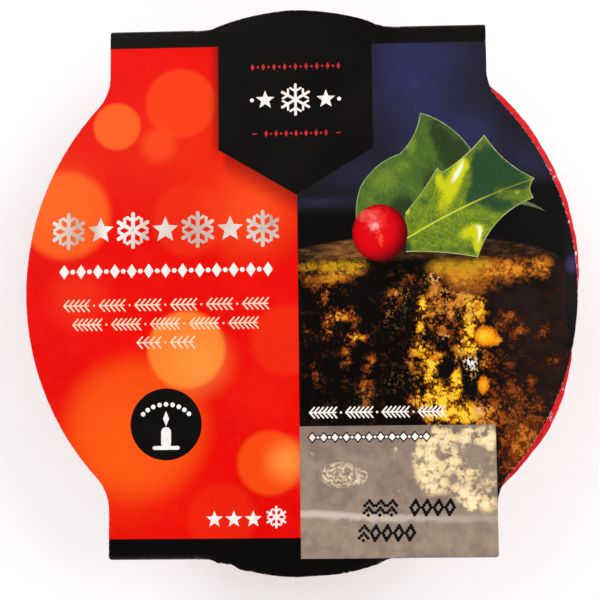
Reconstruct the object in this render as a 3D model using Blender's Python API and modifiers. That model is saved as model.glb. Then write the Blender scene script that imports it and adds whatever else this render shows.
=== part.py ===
"""A small shut pudding pack: a sealed round pot held in a die-cut, folded card sleeve.

Metres, +Z up. The origin is under the middle of the sleeve's printed top panel, on the underside
of its base panel, so the pack stands on the plane z = 0. +X points to the right of the print and
+Y to its top edge. The card wraps round the pot in the Y direction and is open at both X ends.

Three solids, none of them jointed:
  pot       turned basin with a stacking step and a sealing flange, solid because the pack is shut
  film_lid  round lidding film on the flange, its free edge drooping a little
  sleeve    one card blank: wings over the pot's rim, folded side panels, a glued lap underneath
"""
import math

import bmesh
import bpy

# Driving dimensions of the whole pack
PACK_HEIGHT = 0.0380
CARD = 0.0005
GAP = 0.0003

# Printed top panel, seen from above
WING_RADIUS = 0.0475
PANEL_HALF_WIDTH = 0.0329
FOLD_Y = 0.0460
SHOULDER_RADIUS = 0.0082
CORNER_RADIUS = 0.0009
TONGUE_HALF_WIDTH = 0.0150
TONGUE_REACH = 0.0030

# Side panels, base and glued lap of the sleeve
BASE_FOLD_Y = 0.0300
BASE_HALF_WIDTH = 0.0290
OUTER_FLAP_EDGE_Y = 0.0140
INNER_FLAP_EDGE_Y = -0.0060
SLOT_HALF_WIDTH = 0.0180
SLOT_DROP = 0.0046
SLOT_CORNER_RADIUS = 0.0018

# Film and pot, which sit a little off the middle of the sleeve
POT_CENTRE = (0.0007, 0.0003)
FILM_RADIUS = 0.0478
FILM_THICKNESS = 0.0003
FILM_OVERHANG = 0.0012
FILM_DROOP = 0.0004
FLANGE_THICKNESS = 0.0012
FLANGE_LIP_WIDTH = 0.0010
FLANGE_LIP_DROP = 0.0022
STEP_RADIUS = 0.0405
STEP_DROP = 0.0045
WALL_TOP_RADIUS = 0.0385
BASE_RADIUS = 0.0272
BASE_ROUNDING = 0.0030
FOOT_WIDTH = 0.0022
FOOT_SLOPE = 0.0006
FOOT_RECESS = 0.0010
ROUND_STEPS = 96

# Heights that follow from the stack of card, film, flange and pot
TOP_UNDERSIDE = PACK_HEIGHT - CARD
FILM_TOP = TOP_UNDERSIDE - GAP
FLANGE_TOP = FILM_TOP - FILM_THICKNESS - GAP
POT_BOTTOM = 2 * CARD + GAP


def clear_scene():
    """Removes every object, so that the script can be run again and again."""
    for thing in list(bpy.data.objects):
        bpy.data.objects.remove(thing)


def new_collection(name):
    """A collection of that name, linked to the scene."""
    collection = bpy.data.collections.new(name)
    bpy.context.scene.collection.children.link(collection)
    return collection


def new_material(name, colour, roughness):
    """A Principled material of one colour for one sub-part."""
    material = bpy.data.materials.new(name)
    material.use_nodes = True
    shader = material.node_tree.nodes["Principled BSDF"]
    shader.inputs["Base Color"].default_value = (*colour, 1.0)
    shader.inputs["Roughness"].default_value = roughness
    shader.inputs["Metallic"].default_value = 0.0
    return material


def arc(centre, radius, start, end, steps):
    """Points on a circle from angle start to angle end in degrees, both ends included."""
    angles = [math.radians(start + (end - start) * i / steps) for i in range(steps + 1)]
    return [(centre[0] + radius * math.cos(a), centre[1] + radius * math.sin(a)) for a in angles]


def extruded(name, loops, depth, collection):
    """A mesh object of closed 2D loops, filled and extruded by depth about their own plane.

    A loop inside another one is a hole. The flat caps are welded to the side walls.
    """
    curve = bpy.data.curves.new(name, "CURVE")
    curve.dimensions = "2D"
    curve.fill_mode = "BOTH"
    curve.extrude = depth / 2
    for points in loops:
        spline = curve.splines.new("POLY")
        spline.points.add(len(points) - 1)
        for point, (x, y) in zip(spline.points, points):
            point.co = (x, y, 0.0, 1.0)
        spline.use_cyclic_u = True
    outline = bpy.data.objects.new(name + "_outline", curve)
    bpy.context.scene.collection.objects.link(outline)
    graph = bpy.context.evaluated_depsgraph_get()
    mesh = bpy.data.meshes.new_from_object(outline.evaluated_get(graph))
    bpy.data.objects.remove(outline)
    welded = bmesh.new()
    welded.from_mesh(mesh)
    bmesh.ops.remove_doubles(welded, verts=welded.verts, dist=1e-6)
    bmesh.ops.recalc_face_normals(welded, faces=welded.faces)
    welded.to_mesh(mesh)
    welded.free()
    solid = bpy.data.objects.new(name, mesh)
    collection.objects.link(solid)
    return solid


def turned(name, profile, collection):
    """A solid of revolution about the pot's axis from (radius, height) points, top to bottom."""
    mesh = bpy.data.meshes.new(name)
    points = [(radius, 0.0, height) for radius, height in profile]
    mesh.from_pydata(points, [(i, i + 1) for i in range(len(points) - 1)], [])
    solid = bpy.data.objects.new(name, mesh)
    solid.location = (*POT_CENTRE, 0.0)
    collection.objects.link(solid)
    screw = solid.modifiers.new("Turn", "SCREW")
    screw.steps = ROUND_STEPS
    screw.render_steps = ROUND_STEPS
    screw.use_merge_vertices = True
    screw.merge_threshold = 1e-6
    screw.use_smooth_shade = False
    return solid


def cut(solid, cutter, operation="DIFFERENCE"):
    """Adds a Boolean of that cutter, which stays in the file as a hidden wire guide."""
    cutter.hide_render = True
    cutter.display_type = "WIRE"
    boolean = solid.modifiers.new(cutter.name, "BOOLEAN")
    boolean.operation = operation
    boolean.solver = "EXACT"
    boolean.object = cutter


def panel_outline():
    """The top panel from above, counter-clockwise from the right wing's middle.

    One quarter is the wing's arc, the hollow shoulder tangent to it, the straight end of the
    panel with its small corner and half of the tongue at the fold. The rest mirrors it.
    """
    shoulder_x = PANEL_HALF_WIDTH + SHOULDER_RADIUS
    shoulder_y = math.sqrt((WING_RADIUS + SHOULDER_RADIUS) ** 2 - shoulder_x ** 2)
    wing_end = math.degrees(math.atan2(shoulder_y, shoulder_x))
    tongue_radius = (TONGUE_HALF_WIDTH ** 2 + TONGUE_REACH ** 2) / (2 * TONGUE_REACH)
    tongue_angle = math.degrees(math.asin(TONGUE_HALF_WIDTH / tongue_radius))
    corner = (PANEL_HALF_WIDTH - CORNER_RADIUS, FOLD_Y - CORNER_RADIUS)
    tongue = (0.0, FOLD_Y + TONGUE_REACH - tongue_radius)
    quarter = arc((0.0, 0.0), WING_RADIUS, 0.0, wing_end, 18)
    quarter += arc((shoulder_x, shoulder_y), SHOULDER_RADIUS, 180.0 + wing_end, 180.0, 7)[1:]
    quarter += arc(corner, CORNER_RADIUS, 0.0, 90.0, 4)
    quarter += arc(tongue, tongue_radius, 90.0 - tongue_angle, 90.0, 8)
    upper = quarter + [(-x, y) for x, y in reversed(quarter)][1:]
    return upper + [(x, -y) for x, y in reversed(upper)][1:-1]


def card_section():
    """The wrapped card in the YZ plane: an outer loop and the hole that the pot goes through.

    The top panel runs on past both folds, for the tongues. Under the pot the inner flap lies
    glued on the outer flap, so the base is two cards thick between their free edges.
    """
    reach = FOLD_Y + 2 * TONGUE_REACH
    lean = (FOLD_Y - BASE_FOLD_Y) / TOP_UNDERSIDE
    card_across = CARD * math.hypot(1.0, lean)

    def side(height):
        """Distance of a side panel's outer face from the middle, at that height."""
        return BASE_FOLD_Y + lean * height

    outer = [
        (OUTER_FLAP_EDGE_Y, 0.0),
        (OUTER_FLAP_EDGE_Y, CARD),
        (side(CARD), CARD),
        (FOLD_Y, TOP_UNDERSIDE),
        (reach, TOP_UNDERSIDE),
        (reach, PACK_HEIGHT),
        (-reach, PACK_HEIGHT),
        (-reach, TOP_UNDERSIDE),
        (-FOLD_Y, TOP_UNDERSIDE),
        (-BASE_FOLD_Y, 0.0),
    ]
    inner = [
        (INNER_FLAP_EDGE_Y, CARD),
        (INNER_FLAP_EDGE_Y, 2 * CARD),
        (side(2 * CARD) - card_across, 2 * CARD),
        (FOLD_Y - card_across, TOP_UNDERSIDE),
        (-(FOLD_Y - card_across), TOP_UNDERSIDE),
        (-(side(CARD) - card_across), CARD),
    ]
    return [outer, inner]


def make_sleeve(parts, cutters):
    """The folded card: its wrapped section, trimmed to the panel's outline, sides and slots."""
    everything = 3 * PACK_HEIGHT
    sleeve = extruded("sleeve", card_section(), 3 * WING_RADIUS, parts)
    sleeve.rotation_euler = (math.radians(90), 0.0, math.radians(90))

    plan = extruded("plan_cutter", [panel_outline()], everything, cutters)
    cut(sleeve, plan, "INTERSECT")

    # The base and side panels are narrower than the wings above them. A side panel keeps the top
    # panel's width for a little way down and then tapers to the base.
    trim_top = 0.9 * PACK_HEIGHT
    trim_bottom = -0.1 * PACK_HEIGHT
    taper = (PANEL_HALF_WIDTH - BASE_HALF_WIDTH) / trim_top
    for name, sign in (("right", 1), ("left", -1)):
        outline = [
            (sign * (BASE_HALF_WIDTH + taper * trim_bottom), trim_bottom),
            (sign * 2 * WING_RADIUS, trim_bottom),
            (sign * 2 * WING_RADIUS, trim_top),
            (sign * (BASE_HALF_WIDTH + taper * trim_top), trim_top),
        ]
        trim = extruded(f"{name}_trim_cutter", [outline], 3 * FOLD_Y, cutters)
        trim.rotation_euler = (math.radians(90), 0.0, 0.0)
        cut(sleeve, trim)

    # A slot under each tongue lets the pot's flange stand out through the side panel.
    bottom = TOP_UNDERSIDE - SLOT_DROP
    corner_x = SLOT_HALF_WIDTH - SLOT_CORNER_RADIUS
    corner_z = bottom + SLOT_CORNER_RADIUS
    slot_outline = arc((-corner_x, corner_z), SLOT_CORNER_RADIUS, 180.0, 270.0, 5)
    slot_outline += arc((corner_x, corner_z), SLOT_CORNER_RADIUS, 270.0, 360.0, 5)
    slot_outline += [(SLOT_HALF_WIDTH, TOP_UNDERSIDE), (-SLOT_HALF_WIDTH, TOP_UNDERSIDE)]
    for name, sign in (("upper", 1), ("lower", -1)):
        slot = extruded(f"{name}_slot_cutter", [slot_outline], 4 * TONGUE_REACH, cutters)
        slot.rotation_euler = (math.radians(90), 0.0, 0.0)
        slot.location = (0.0, sign * FOLD_Y, 0.0)
        cut(sleeve, slot)
    return sleeve


def make_film_lid(parts):
    """The lidding film: flat on the flange, with a narrow free edge that droops outside it."""
    flat = FILM_RADIUS - FILM_OVERHANG
    profile = [
        (0.0, FILM_TOP),
        (flat, FILM_TOP),
        (FILM_RADIUS, FILM_TOP - FILM_DROOP),
        (FILM_RADIUS, FILM_TOP - FILM_DROOP - FILM_THICKNESS),
        (flat, FILM_TOP - FILM_THICKNESS),
        (0.0, FILM_TOP - FILM_THICKNESS),
    ]
    return turned("film_lid", profile, parts)


def make_pot(parts):
    """The shut basin: flange with a turned-down lip, stacking step, tapered wall, ring foot."""
    flange = FILM_RADIUS - FILM_OVERHANG
    step_bottom = FLANGE_TOP - STEP_DROP
    rise = step_bottom - POT_BOTTOM
    spread = WALL_TOP_RADIUS - BASE_RADIUS
    wall_angle = math.degrees(math.atan2(-spread, rise))
    tangent = BASE_ROUNDING * math.tan(math.radians(90.0 + wall_angle) / 2)
    rounding_centre = (BASE_RADIUS - tangent, POT_BOTTOM + BASE_ROUNDING)
    foot_inner = rounding_centre[0] - FOOT_WIDTH
    profile = [
        (0.0, FLANGE_TOP),
        (flange, FLANGE_TOP),
        (flange, FLANGE_TOP - FLANGE_LIP_DROP),
        (flange - FLANGE_LIP_WIDTH, FLANGE_TOP - FLANGE_LIP_DROP),
        (flange - FLANGE_LIP_WIDTH, FLANGE_TOP - FLANGE_THICKNESS),
        (STEP_RADIUS, FLANGE_TOP - FLANGE_THICKNESS),
        (STEP_RADIUS, step_bottom),
        (WALL_TOP_RADIUS, step_bottom),
    ]
    profile += arc(rounding_centre, BASE_ROUNDING, wall_angle, -90.0, 6)
    profile += [
        (foot_inner, POT_BOTTOM),
        (foot_inner - FOOT_SLOPE, POT_BOTTOM + FOOT_RECESS),
        (0.0, POT_BOTTOM + FOOT_RECESS),
    ]
    return turned("pot", profile, parts)


def main():
    clear_scene()
    parts = new_collection("pudding_pack")
    cutters = new_collection("cutters")
    sleeve = make_sleeve(parts, cutters)
    film_lid = make_film_lid(parts)
    pot = make_pot(parts)
    sleeve.data.materials.append(new_material("printed_card", (0.80, 0.02, 0.01), 0.35))
    film_lid.data.materials.append(new_material("red_film", (0.75, 0.02, 0.02), 0.20))
    pot.data.materials.append(new_material("red_plastic", (0.55, 0.02, 0.02), 0.35))


main()
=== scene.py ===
import math

import bmesh
import bpy
import numpy as np
from mathutils import Matrix, Vector


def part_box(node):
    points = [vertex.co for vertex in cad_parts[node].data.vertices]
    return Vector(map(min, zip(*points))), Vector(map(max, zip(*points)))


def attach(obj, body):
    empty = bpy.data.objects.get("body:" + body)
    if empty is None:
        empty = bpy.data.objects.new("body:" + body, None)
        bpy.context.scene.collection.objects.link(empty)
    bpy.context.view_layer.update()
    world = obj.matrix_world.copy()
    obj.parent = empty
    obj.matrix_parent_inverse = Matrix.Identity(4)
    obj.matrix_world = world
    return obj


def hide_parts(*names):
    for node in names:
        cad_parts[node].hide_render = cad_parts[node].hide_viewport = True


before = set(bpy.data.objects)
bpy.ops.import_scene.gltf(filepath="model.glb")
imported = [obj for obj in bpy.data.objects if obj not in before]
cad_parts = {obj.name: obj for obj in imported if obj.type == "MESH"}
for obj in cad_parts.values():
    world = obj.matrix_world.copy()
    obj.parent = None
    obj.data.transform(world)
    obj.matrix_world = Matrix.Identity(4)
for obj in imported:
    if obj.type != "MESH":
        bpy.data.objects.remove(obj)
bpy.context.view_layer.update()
MM = 0.001               # sizes below are in millimetres, in the frame of the CAD


# ------------------------------------------------------------------------------------------------
# Pot. A basin drawn from one sheet of red polypropylene: a flat sealing flange with a turned-down
# lip, a step that lets empty pots nest, and a tapered wall that ends in a ring foot.
# ------------------------------------------------------------------------------------------------
POT_LOW, POT_HIGH = (np.array(corner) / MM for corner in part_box("pot"))
POT_CENTRE = (POT_LOW + POT_HIGH)[:2] / 2
FLANGE_RADIUS = (POT_HIGH - POT_LOW)[0] / 2
FLANGE_THICKNESS = 1.2
LIP_WIDTH = 1.0
LIP_DROP = 2.2
STEP_RADIUS = 40.5
STEP_DROP = 4.5
WALL_TOP_RADIUS = 38.5
FOOT_RADIUS = 27.2
FOOT_WIDTH = 2.2
FOOT_RECESS = 1.0
POT_COLUMNS = 192


def rounded_line(corners, radii, steps):
    """Points along a line with rounded corners, and the unit normals to its left.

    Each straight run is cut into parts of about its step. An arc of radius r touches both runs at
    r * tan(turn / 2) from their corner, and its points are centre + r * (cos a, sin a).
    """
    corners = np.asarray(corners, float)
    runs = np.diff(corners, axis=0)
    lengths = np.hypot(*runs.T)
    headings = np.unwrap(np.arctan2(runs[:, 1], runs[:, 0]))
    turns = np.diff(headings)
    trims = np.concatenate([[0.0], np.asarray(radii) * np.tan(np.abs(turns) / 2), [0.0]])
    points, normals = [], []
    for i, (run, length, heading) in enumerate(zip(runs, lengths, headings)):
        ends = trims[i], length - trims[i + 1]
        count = max(1, round((ends[1] - ends[0]) / steps[i]))
        normal = np.array([-math.sin(heading), math.cos(heading)])
        straight = corners[i] + np.linspace(*ends, count + 1)[:, None] * run / length
        points.append(straight)
        normals.append(np.tile(normal, (count + 1, 1)))
        if i < len(turns):
            parts = max(2, math.ceil(abs(turns[i]) / math.radians(12)))
            angles = heading + turns[i] * np.arange(1, parts) / parts
            arc_normals = np.stack([-np.sin(angles), np.cos(angles)], axis=-1)
            reach = math.copysign(radii[i], turns[i])
            points.append(straight[-1] + reach * normal - reach * arc_normals)
            normals.append(arc_normals)
    points, normals = np.concatenate(points), np.concatenate(normals)
    apart = np.concatenate([[True], np.hypot(*np.diff(points, axis=0).T) > 1e-6])
    return points[apart], normals[apart]


def numbered(rows, columns):
    """The point numbers of a grid that is stored row by row."""
    return np.arange(rows * columns).reshape(rows, columns)


def grid_faces(index, around=False, flip=False):
    """Quads between the neighbours in a grid of point numbers.

    A quad's normal is the column direction times the row direction. around joins the last column
    to the first, and flip turns every quad over.
    """
    if around:
        index = np.hstack([index, index[:, :1]])
    quads = np.stack([index[:-1, :-1], index[:-1, 1:], index[1:, 1:], index[1:, :-1]], axis=-1)
    quads = quads.reshape(-1, 4)
    return quads[:, ::-1] if flip else quads


def mesh_piece(name, points, faces, materials, weld=False, fields=()):
    """A mesh object from points in millimetres and quads, smooth except at its sharp edges.

    fields are (name, values), numbers at the points that the material reads. weld merges points
    that coincide, as at a pole.
    """
    mesh = bpy.data.meshes.new(name)
    mesh.from_pydata((points * MM).tolist(), [], faces.tolist())
    for title, values in fields:
        attribute = mesh.attributes.new(title, "FLOAT", "POINT")
        attribute.data.foreach_set("value", np.asarray(values, np.float32))
    if weld:
        working = bmesh.new()
        working.from_mesh(mesh)
        bmesh.ops.remove_doubles(working, verts=working.verts, dist=1e-7)
        working.to_mesh(mesh)
        working.free()
    mesh.polygons.foreach_set("use_smooth", np.ones(len(mesh.polygons), bool))
    mesh.set_sharp_from_angle(angle=math.radians(38))
    for material in materials:
        mesh.materials.append(material)
    piece = bpy.data.objects.new(name, mesh)
    bpy.context.scene.collection.objects.link(piece)
    return piece


def turned_points(profile, centre, columns):
    """A profile of (radius, height) turned about an upright axis, row by row.

    A point is centre + (r cos a, r sin a, z).
    """
    angles = np.linspace(0.0, 2 * math.pi, columns, endpoint=False)
    x = centre[0] + profile[:, :1] * np.cos(angles)
    y = centre[1] + profile[:, :1] * np.sin(angles)
    z = np.broadcast_to(profile[:, 1:], x.shape)
    return np.stack([x, y, z], axis=-1).reshape(-1, 3)


def ink(red, green, blue):
    """A colour given as sRGB steps of 0 to 255, as the linear RGBA that a shader takes."""
    share = np.array([red, green, blue]) / 255
    linear = np.where(share <= 0.04045, share / 12.92, ((share + 0.055) / 1.055) ** 2.4)
    return (*linear.tolist(), 1.0)


def new_material(name):
    """A material with one Principled shader: the material, its node tree and the shader."""
    material = bpy.data.materials.new(name)
    material.use_nodes = True
    return material, material.node_tree, material.node_tree.nodes["Principled BSDF"]


def feed(tree, socket, value):
    """Links an output to the socket, or sets the socket to a plain value."""
    if isinstance(value, bpy.types.NodeSocket):
        tree.links.new(value, socket)
    else:
        socket.default_value = value


def calc(tree, operation, *values):
    """A Math node's output: the operation on those sockets or numbers."""
    node = tree.nodes.new("ShaderNodeMath")
    node.operation = operation
    for socket, value in zip(node.inputs, values):
        feed(tree, socket, value)
    return node.outputs[0]


def fade(tree, value, start, end, low=0.0, high=1.0):
    """Goes smoothly from low, where the value is at start, to high, where it is at end."""
    node = tree.nodes.new("ShaderNodeMapRange")
    node.interpolation_type = "SMOOTHSTEP"
    for socket, number in zip(node.inputs, (value, start, end, low, high)):
        feed(tree, socket, number)
    return node.outputs[0]


def layer(tree, under, mask, over):
    """The colour under, covered by the colour over where the mask is 1."""
    node = tree.nodes.new("ShaderNodeMix")
    node.data_type = "RGBA"
    feed(tree, node.inputs["Factor"], mask)
    feed(tree, node.inputs[6], under)
    feed(tree, node.inputs[7], over)
    return node.outputs[2]


def tones(tree, value, stops):
    """Runs through the colours of (position, colour) stops as the value goes from 0 to 1."""
    node = tree.nodes.new("ShaderNodeValToRGB")
    elements = node.color_ramp.elements
    while len(elements) < len(stops):
        elements.new(1.0)
    for element, (position, colour) in zip(elements, stops):
        element.position = position
        element.color = colour
    feed(tree, node.inputs["Fac"], value)
    return node.outputs["Color"]


def place(tree, stretch=(1.0, 1.0, 1.0), turn=0.0):
    """The piece's own coordinates in millimetres, stretched, and turned about the Z axis."""
    source = tree.nodes.new("ShaderNodeTexCoord")
    mapping = tree.nodes.new("ShaderNodeMapping")
    mapping.inputs["Scale"].default_value = [share / MM for share in stretch]
    mapping.inputs["Rotation"].default_value = (0.0, 0.0, math.radians(turn))
    tree.links.new(source.outputs["Object"], mapping.inputs["Vector"])
    return mapping.outputs["Vector"]


def mottle(tree, vector, scale, detail=2.0, roughness=0.5, distortion=0.0):
    """A cloudy pattern from 0 to 1, with about scale spots to the millimetre."""
    node = tree.nodes.new("ShaderNodeTexNoise")
    feed(tree, node.inputs["Vector"], vector)
    feed(tree, node.inputs["Scale"], scale)
    feed(tree, node.inputs["Detail"], detail)
    feed(tree, node.inputs["Roughness"], roughness)
    feed(tree, node.inputs["Distortion"], distortion)
    return node.outputs["Fac"]


def held(tree, title):
    """The numbers that the mesh holds under that title."""
    node = tree.nodes.new("ShaderNodeAttribute")
    node.attribute_name = title
    return node.outputs["Fac"]


def tilt(tree, shader, height, depth):
    """Tilts the shader's normal by a height pattern of 0 to 1 that is depth millimetres deep."""
    node = tree.nodes.new("ShaderNodeBump")
    node.inputs["Distance"].default_value = depth * MM
    feed(tree, node.inputs["Height"], height)
    tree.links.new(node.outputs["Normal"], shader.inputs["Normal"])


def pot_profile():
    """The basin's section from the middle of its top, out over the flange and down to the foot."""
    top, bottom = POT_HIGH[2], POT_LOW[2]
    lip_inner = FLANGE_RADIUS - LIP_WIDTH
    foot_inner = FOOT_RADIUS - FOOT_WIDTH
    corners = [
        (0.0, top),
        (FLANGE_RADIUS, top),
        (FLANGE_RADIUS, top - LIP_DROP),
        (lip_inner, top - LIP_DROP),
        (lip_inner, top - FLANGE_THICKNESS),
        (STEP_RADIUS, top - FLANGE_THICKNESS),
        (STEP_RADIUS, top - STEP_DROP),
        (WALL_TOP_RADIUS, top - STEP_DROP),
        (FOOT_RADIUS, bottom),
        (foot_inner, bottom),
        (foot_inner - FOOT_RECESS, bottom + FOOT_RECESS),
        (0.0, bottom + FOOT_RECESS),
    ]
    radii = [0.4, 0.4, 0.3, 0.3, 0.8, 0.8, 0.9, 3.0, 0.4, 0.4]
    steps = [4.0, 0.8, 0.5, 0.5, 1.5, 1.2, 1.0, 1.6, 0.8, 0.8, 4.0]
    return rounded_line(corners, radii, steps)[0]


def pot_plastic():
    """Glossy red plastic, cloudy inside its colour, with faint draw lines down the wall."""
    material, tree, shader = new_material("pot_plastic")
    cloud = mottle(tree, place(tree), 0.05, detail=2.0)
    colour = layer(tree, ink(182, 14, 18), fade(tree, cloud, 0.3, 0.7), ink(196, 19, 21))
    feed(tree, shader.inputs["Base Color"], colour)
    draw_lines = mottle(tree, place(tree, stretch=(1.8, 1.8, 0.03)), 1.0, detail=2.0)
    feed(tree, shader.inputs["Roughness"], fade(tree, draw_lines, 0.2, 0.8, 0.24, 0.34))
    tilt(tree, shader, draw_lines, 0.006)
    return material


pot_line = pot_profile()
pot = mesh_piece(
    "pudding_pot",
    turned_points(pot_line, POT_CENTRE, POT_COLUMNS),
    grid_faces(numbered(len(pot_line), POT_COLUMNS), around=True, flip=True),
    [pot_plastic()],
    weld=True,
)
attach(pot, "root")
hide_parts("pot")


# ------------------------------------------------------------------------------------------------
# Lidding film. A disc of glossy red laminate, heat-sealed to the flange: the jaws leave a ring of
# fine radial ribs, and the free edge outside them is wavy and droops. The glints on that edge are
# painted highlights: pale and pink specks.
# ------------------------------------------------------------------------------------------------
FILM_LOW, FILM_HIGH = (np.array(corner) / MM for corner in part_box("film_lid"))
FILM_RADIUS = (FILM_HIGH - FILM_LOW)[0] / 2
FILM_THICKNESS = 0.25
FILM_DISH = 0.4
FREE_EDGE = 1.4
FREE_EDGE_DROOP = 0.35
FREE_EDGE_RIPPLE = 1.2            # how far the edge goes down where a wave pushes it out by 1
SEAL_RING = (41.6, 46.4)
SEAL_DEPTH = 0.10
SEAL_RIBS = 240
RIB_HEIGHT = 0.04
LOOSE_RIB_SHARE = 1.6             # the ribs' height at the free edge, as a share of the seal's
FILM_COLUMNS = 720
EDGE_WAVES = [(17, 0.05, 2.1), (43, 0.05, 1.0), (97, 0.04, 4.0)]
# Where the free edge stands out or is pressed in: middle and half width in degrees, size
EDGE_BULGES = [(-31.0, 7.5, 0.5), (-7.0, 10.0, -1.15), (12.0, 7.0, -0.1), (36.0, 10.0, 0.25)]
BENT_WING = (45.3, 3.5, 13.5)     # x of the crease, middle and half length of the bent sliver in y
BENT_REACH = 2.2                  # from that crease to where the bend is full
BENT_WING_PRESS = 0.25            # how far it presses the film down
# Painted highlights on the film's crinkled edge: x, y, half width, half height, strength
SPECKS = [
    (43.5, 20.0, 0.6, 0.45, 1.0),
    (44.2, 18.8, 0.7, 0.4, 1.0),
    (41.6, 23.8, 0.4, 0.5, 0.9),
    (45.5, 14.2, 0.4, 0.8, 0.9),
    (45.9, 12.3, 0.4, 0.4, 1.2),
    (46.4, 10.8, 0.6, 0.35, 1.3),
    (47.0, 7.4, 0.4, 0.8, 0.8),
    (47.4, 5.4, 0.6, 0.7, 1.2),
    (47.6, 3.2, 0.5, 0.6, 1.0),
    (36.5, 33.0, 2.2, 0.8, 0.5),
    (42.4, -22.6, 0.7, 1.6, 0.8),
    (44.6, -18.0, 0.5, 2.0, 0.7),
    (-43.0, 20.0, 1.2, 1.2, 0.6),
]


def smooth_step(value, start, end):
    """0 before start, 1 after end, and the smooth curve t t (3 - 2 t) between them."""
    t = np.clip((value - start) / (end - start), 0.0, 1.0)
    return t * t * (3 - 2 * t)


def soft_spots(x, y, spots):
    """Sum of bells, strength * exp(-(dx / half width)^2 - (dy / half height)^2).

    spots are (x, y, half width, half height, strength).
    """
    middle_x, middle_y, width, height, strength = np.array(spots, float).T[:, :, None]
    across = (np.ravel(x) - middle_x) / width
    up = (np.ravel(y) - middle_y) / height
    return (strength * np.exp(-across ** 2 - up ** 2)).sum(axis=0).reshape(np.shape(x))


def wing_bend(x, y):
    """0 to 1 over the sliver of the right wing that is bent down outside its crease.

    It grows in a straight line from the crease to the wing's edge, and dies away at both ends.
    """
    crease, middle, reach = BENT_WING
    along = np.clip(1.0 - np.abs((y - middle) / reach) ** 3, 0.0, 1.0)
    return np.clip((x - crease) / BENT_REACH, 0.0, 1.0) * along


def film_points():
    """The film's top by rows of radius: a shallow dish, the ribbed seal, and the drooping edge.

    Radius and droop carry a few waves, sin(n a + phase). The radius also has bells, size *
    exp(-((a - middle) / half width)^2), and the ribs are sin(SEAL_RIBS a).
    """
    angles = np.linspace(0.0, 2 * math.pi, FILM_COLUMNS, endpoint=False)
    waves = sum(size * np.sin(count * angles + phase) for count, size, phase in EDGE_WAVES)
    middle, width, size = np.array(EDGE_BULGES).T[:, :, None]
    turn = (np.degrees(angles) - middle + 180.0) % 360.0 - 180.0
    bulge = (size * np.exp(-(turn / width) ** 2)).sum(axis=0)
    inside = np.linspace(0.0, SEAL_RING[0], 12)[:-1]
    outside = np.linspace(SEAL_RING[0], FILM_RADIUS, 34)
    radius = np.concatenate([inside, outside])[:, None]
    loose = smooth_step(radius, FILM_RADIUS - FREE_EDGE, FILM_RADIUS)
    reach = radius + loose * (waves + bulge)
    sealed = smooth_step(radius, SEAL_RING[0], SEAL_RING[0] + 0.5)
    sealed = sealed * (1 - smooth_step(radius, SEAL_RING[1] - 0.3, SEAL_RING[1] + 0.5))
    ribs = RIB_HEIGHT * np.sin(SEAL_RIBS * angles) * (sealed + LOOSE_RIB_SHARE * loose)
    dish = FILM_DISH * np.clip(1 - (radius / SEAL_RING[0]) ** 2, 0.0, 1.0)
    droop = loose * (FREE_EDGE_DROOP + FREE_EDGE_RIPPLE * waves)
    x = POT_CENTRE[0] + reach * np.cos(angles)
    y = POT_CENTRE[1] + reach * np.sin(angles)
    z = FILM_HIGH[2] - dish - SEAL_DEPTH * sealed + ribs - droop
    z = z - BENT_WING_PRESS * wing_bend(x, y)
    return np.stack([x, y, z], axis=-1)


def thick_sheet(points, faces, normals, thickness):
    """A closed plate: a sheet, its copy moved in along the normals, and a rim on each free edge.

    Returns the points, the faces and each face's part: 0 for the sheet, 1 for its copy, 2 for the
    rim. An edge is free where no other face runs along it the other way.
    """
    count = len(points)
    starts, ends = faces.ravel(), np.roll(faces, -1, axis=1).ravel()
    free = ~np.isin(starts * count + ends, ends * count + starts)
    a, b = starts[free], ends[free]
    rim = np.stack([b, a, a + count, b + count], axis=-1)
    all_points = np.vstack([points, points - normals * thickness])
    all_faces = np.vstack([faces, faces[:, ::-1] + count, rim])
    return all_points, all_faces, np.repeat([0, 1, 2], [len(faces), len(faces), len(rim)])


def red_film():
    """Glossy red laminate: painted pink and pale highlights on its free edge, a darker pressed
    seal.
    """
    material, tree, shader = new_material("red_film")
    grain = mottle(tree, place(tree), 0.5, detail=3.0)
    colour = layer(tree, ink(204, 4, 12), fade(tree, grain, 0.3, 0.7), ink(228, 16, 20))
    flecks = mottle(tree, place(tree), 3.6, detail=2.0, roughness=0.6)
    glint_spots = held(tree, "glint_spots")
    # Painted highlight: a pink sheen on the flecks near the film's edge.
    pink_glints = calc(tree, "MULTIPLY", glint_spots, flecks)
    colour = layer(tree, colour, fade(tree, pink_glints, 0.2, 0.6, 0.0, 0.6), ink(214, 70, 130))
    # Painted highlight: near-white glints where the spots and flecks are strongest.
    white_glints = calc(tree, "ADD", glint_spots, calc(tree, "MULTIPLY", flecks, 1.6))
    colour = layer(tree, colour, fade(tree, white_glints, 1.55, 1.7), ink(255, 226, 230))
    feed(tree, shader.inputs["Base Color"], colour)
    feed(tree, shader.inputs["Roughness"], fade(tree, grain, 0.3, 0.7, 0.28, 0.4))
    shader.inputs["Specular IOR Level"].default_value = 0.16
    tilt(tree, shader, flecks, 0.02)
    return material


film_grid = film_points()
film_mesh, film_quads, _ = thick_sheet(
    film_grid.reshape(-1, 3),
    grid_faces(numbered(*film_grid.shape[:2]), around=True, flip=True),
    np.array([0.0, 0.0, 1.0]),
    FILM_THICKNESS,
)
# Painted highlights: where the film's edge gets its pale and pink glints.
film_glints = soft_spots(film_mesh[:, 0], film_mesh[:, 1], SPECKS)
film = mesh_piece(
    "lidding_film", film_mesh, film_quads, [red_film()], weld=True, fields=[("glint_spots", film_glints)]
)
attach(film, "root")
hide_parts("film_lid")


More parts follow.
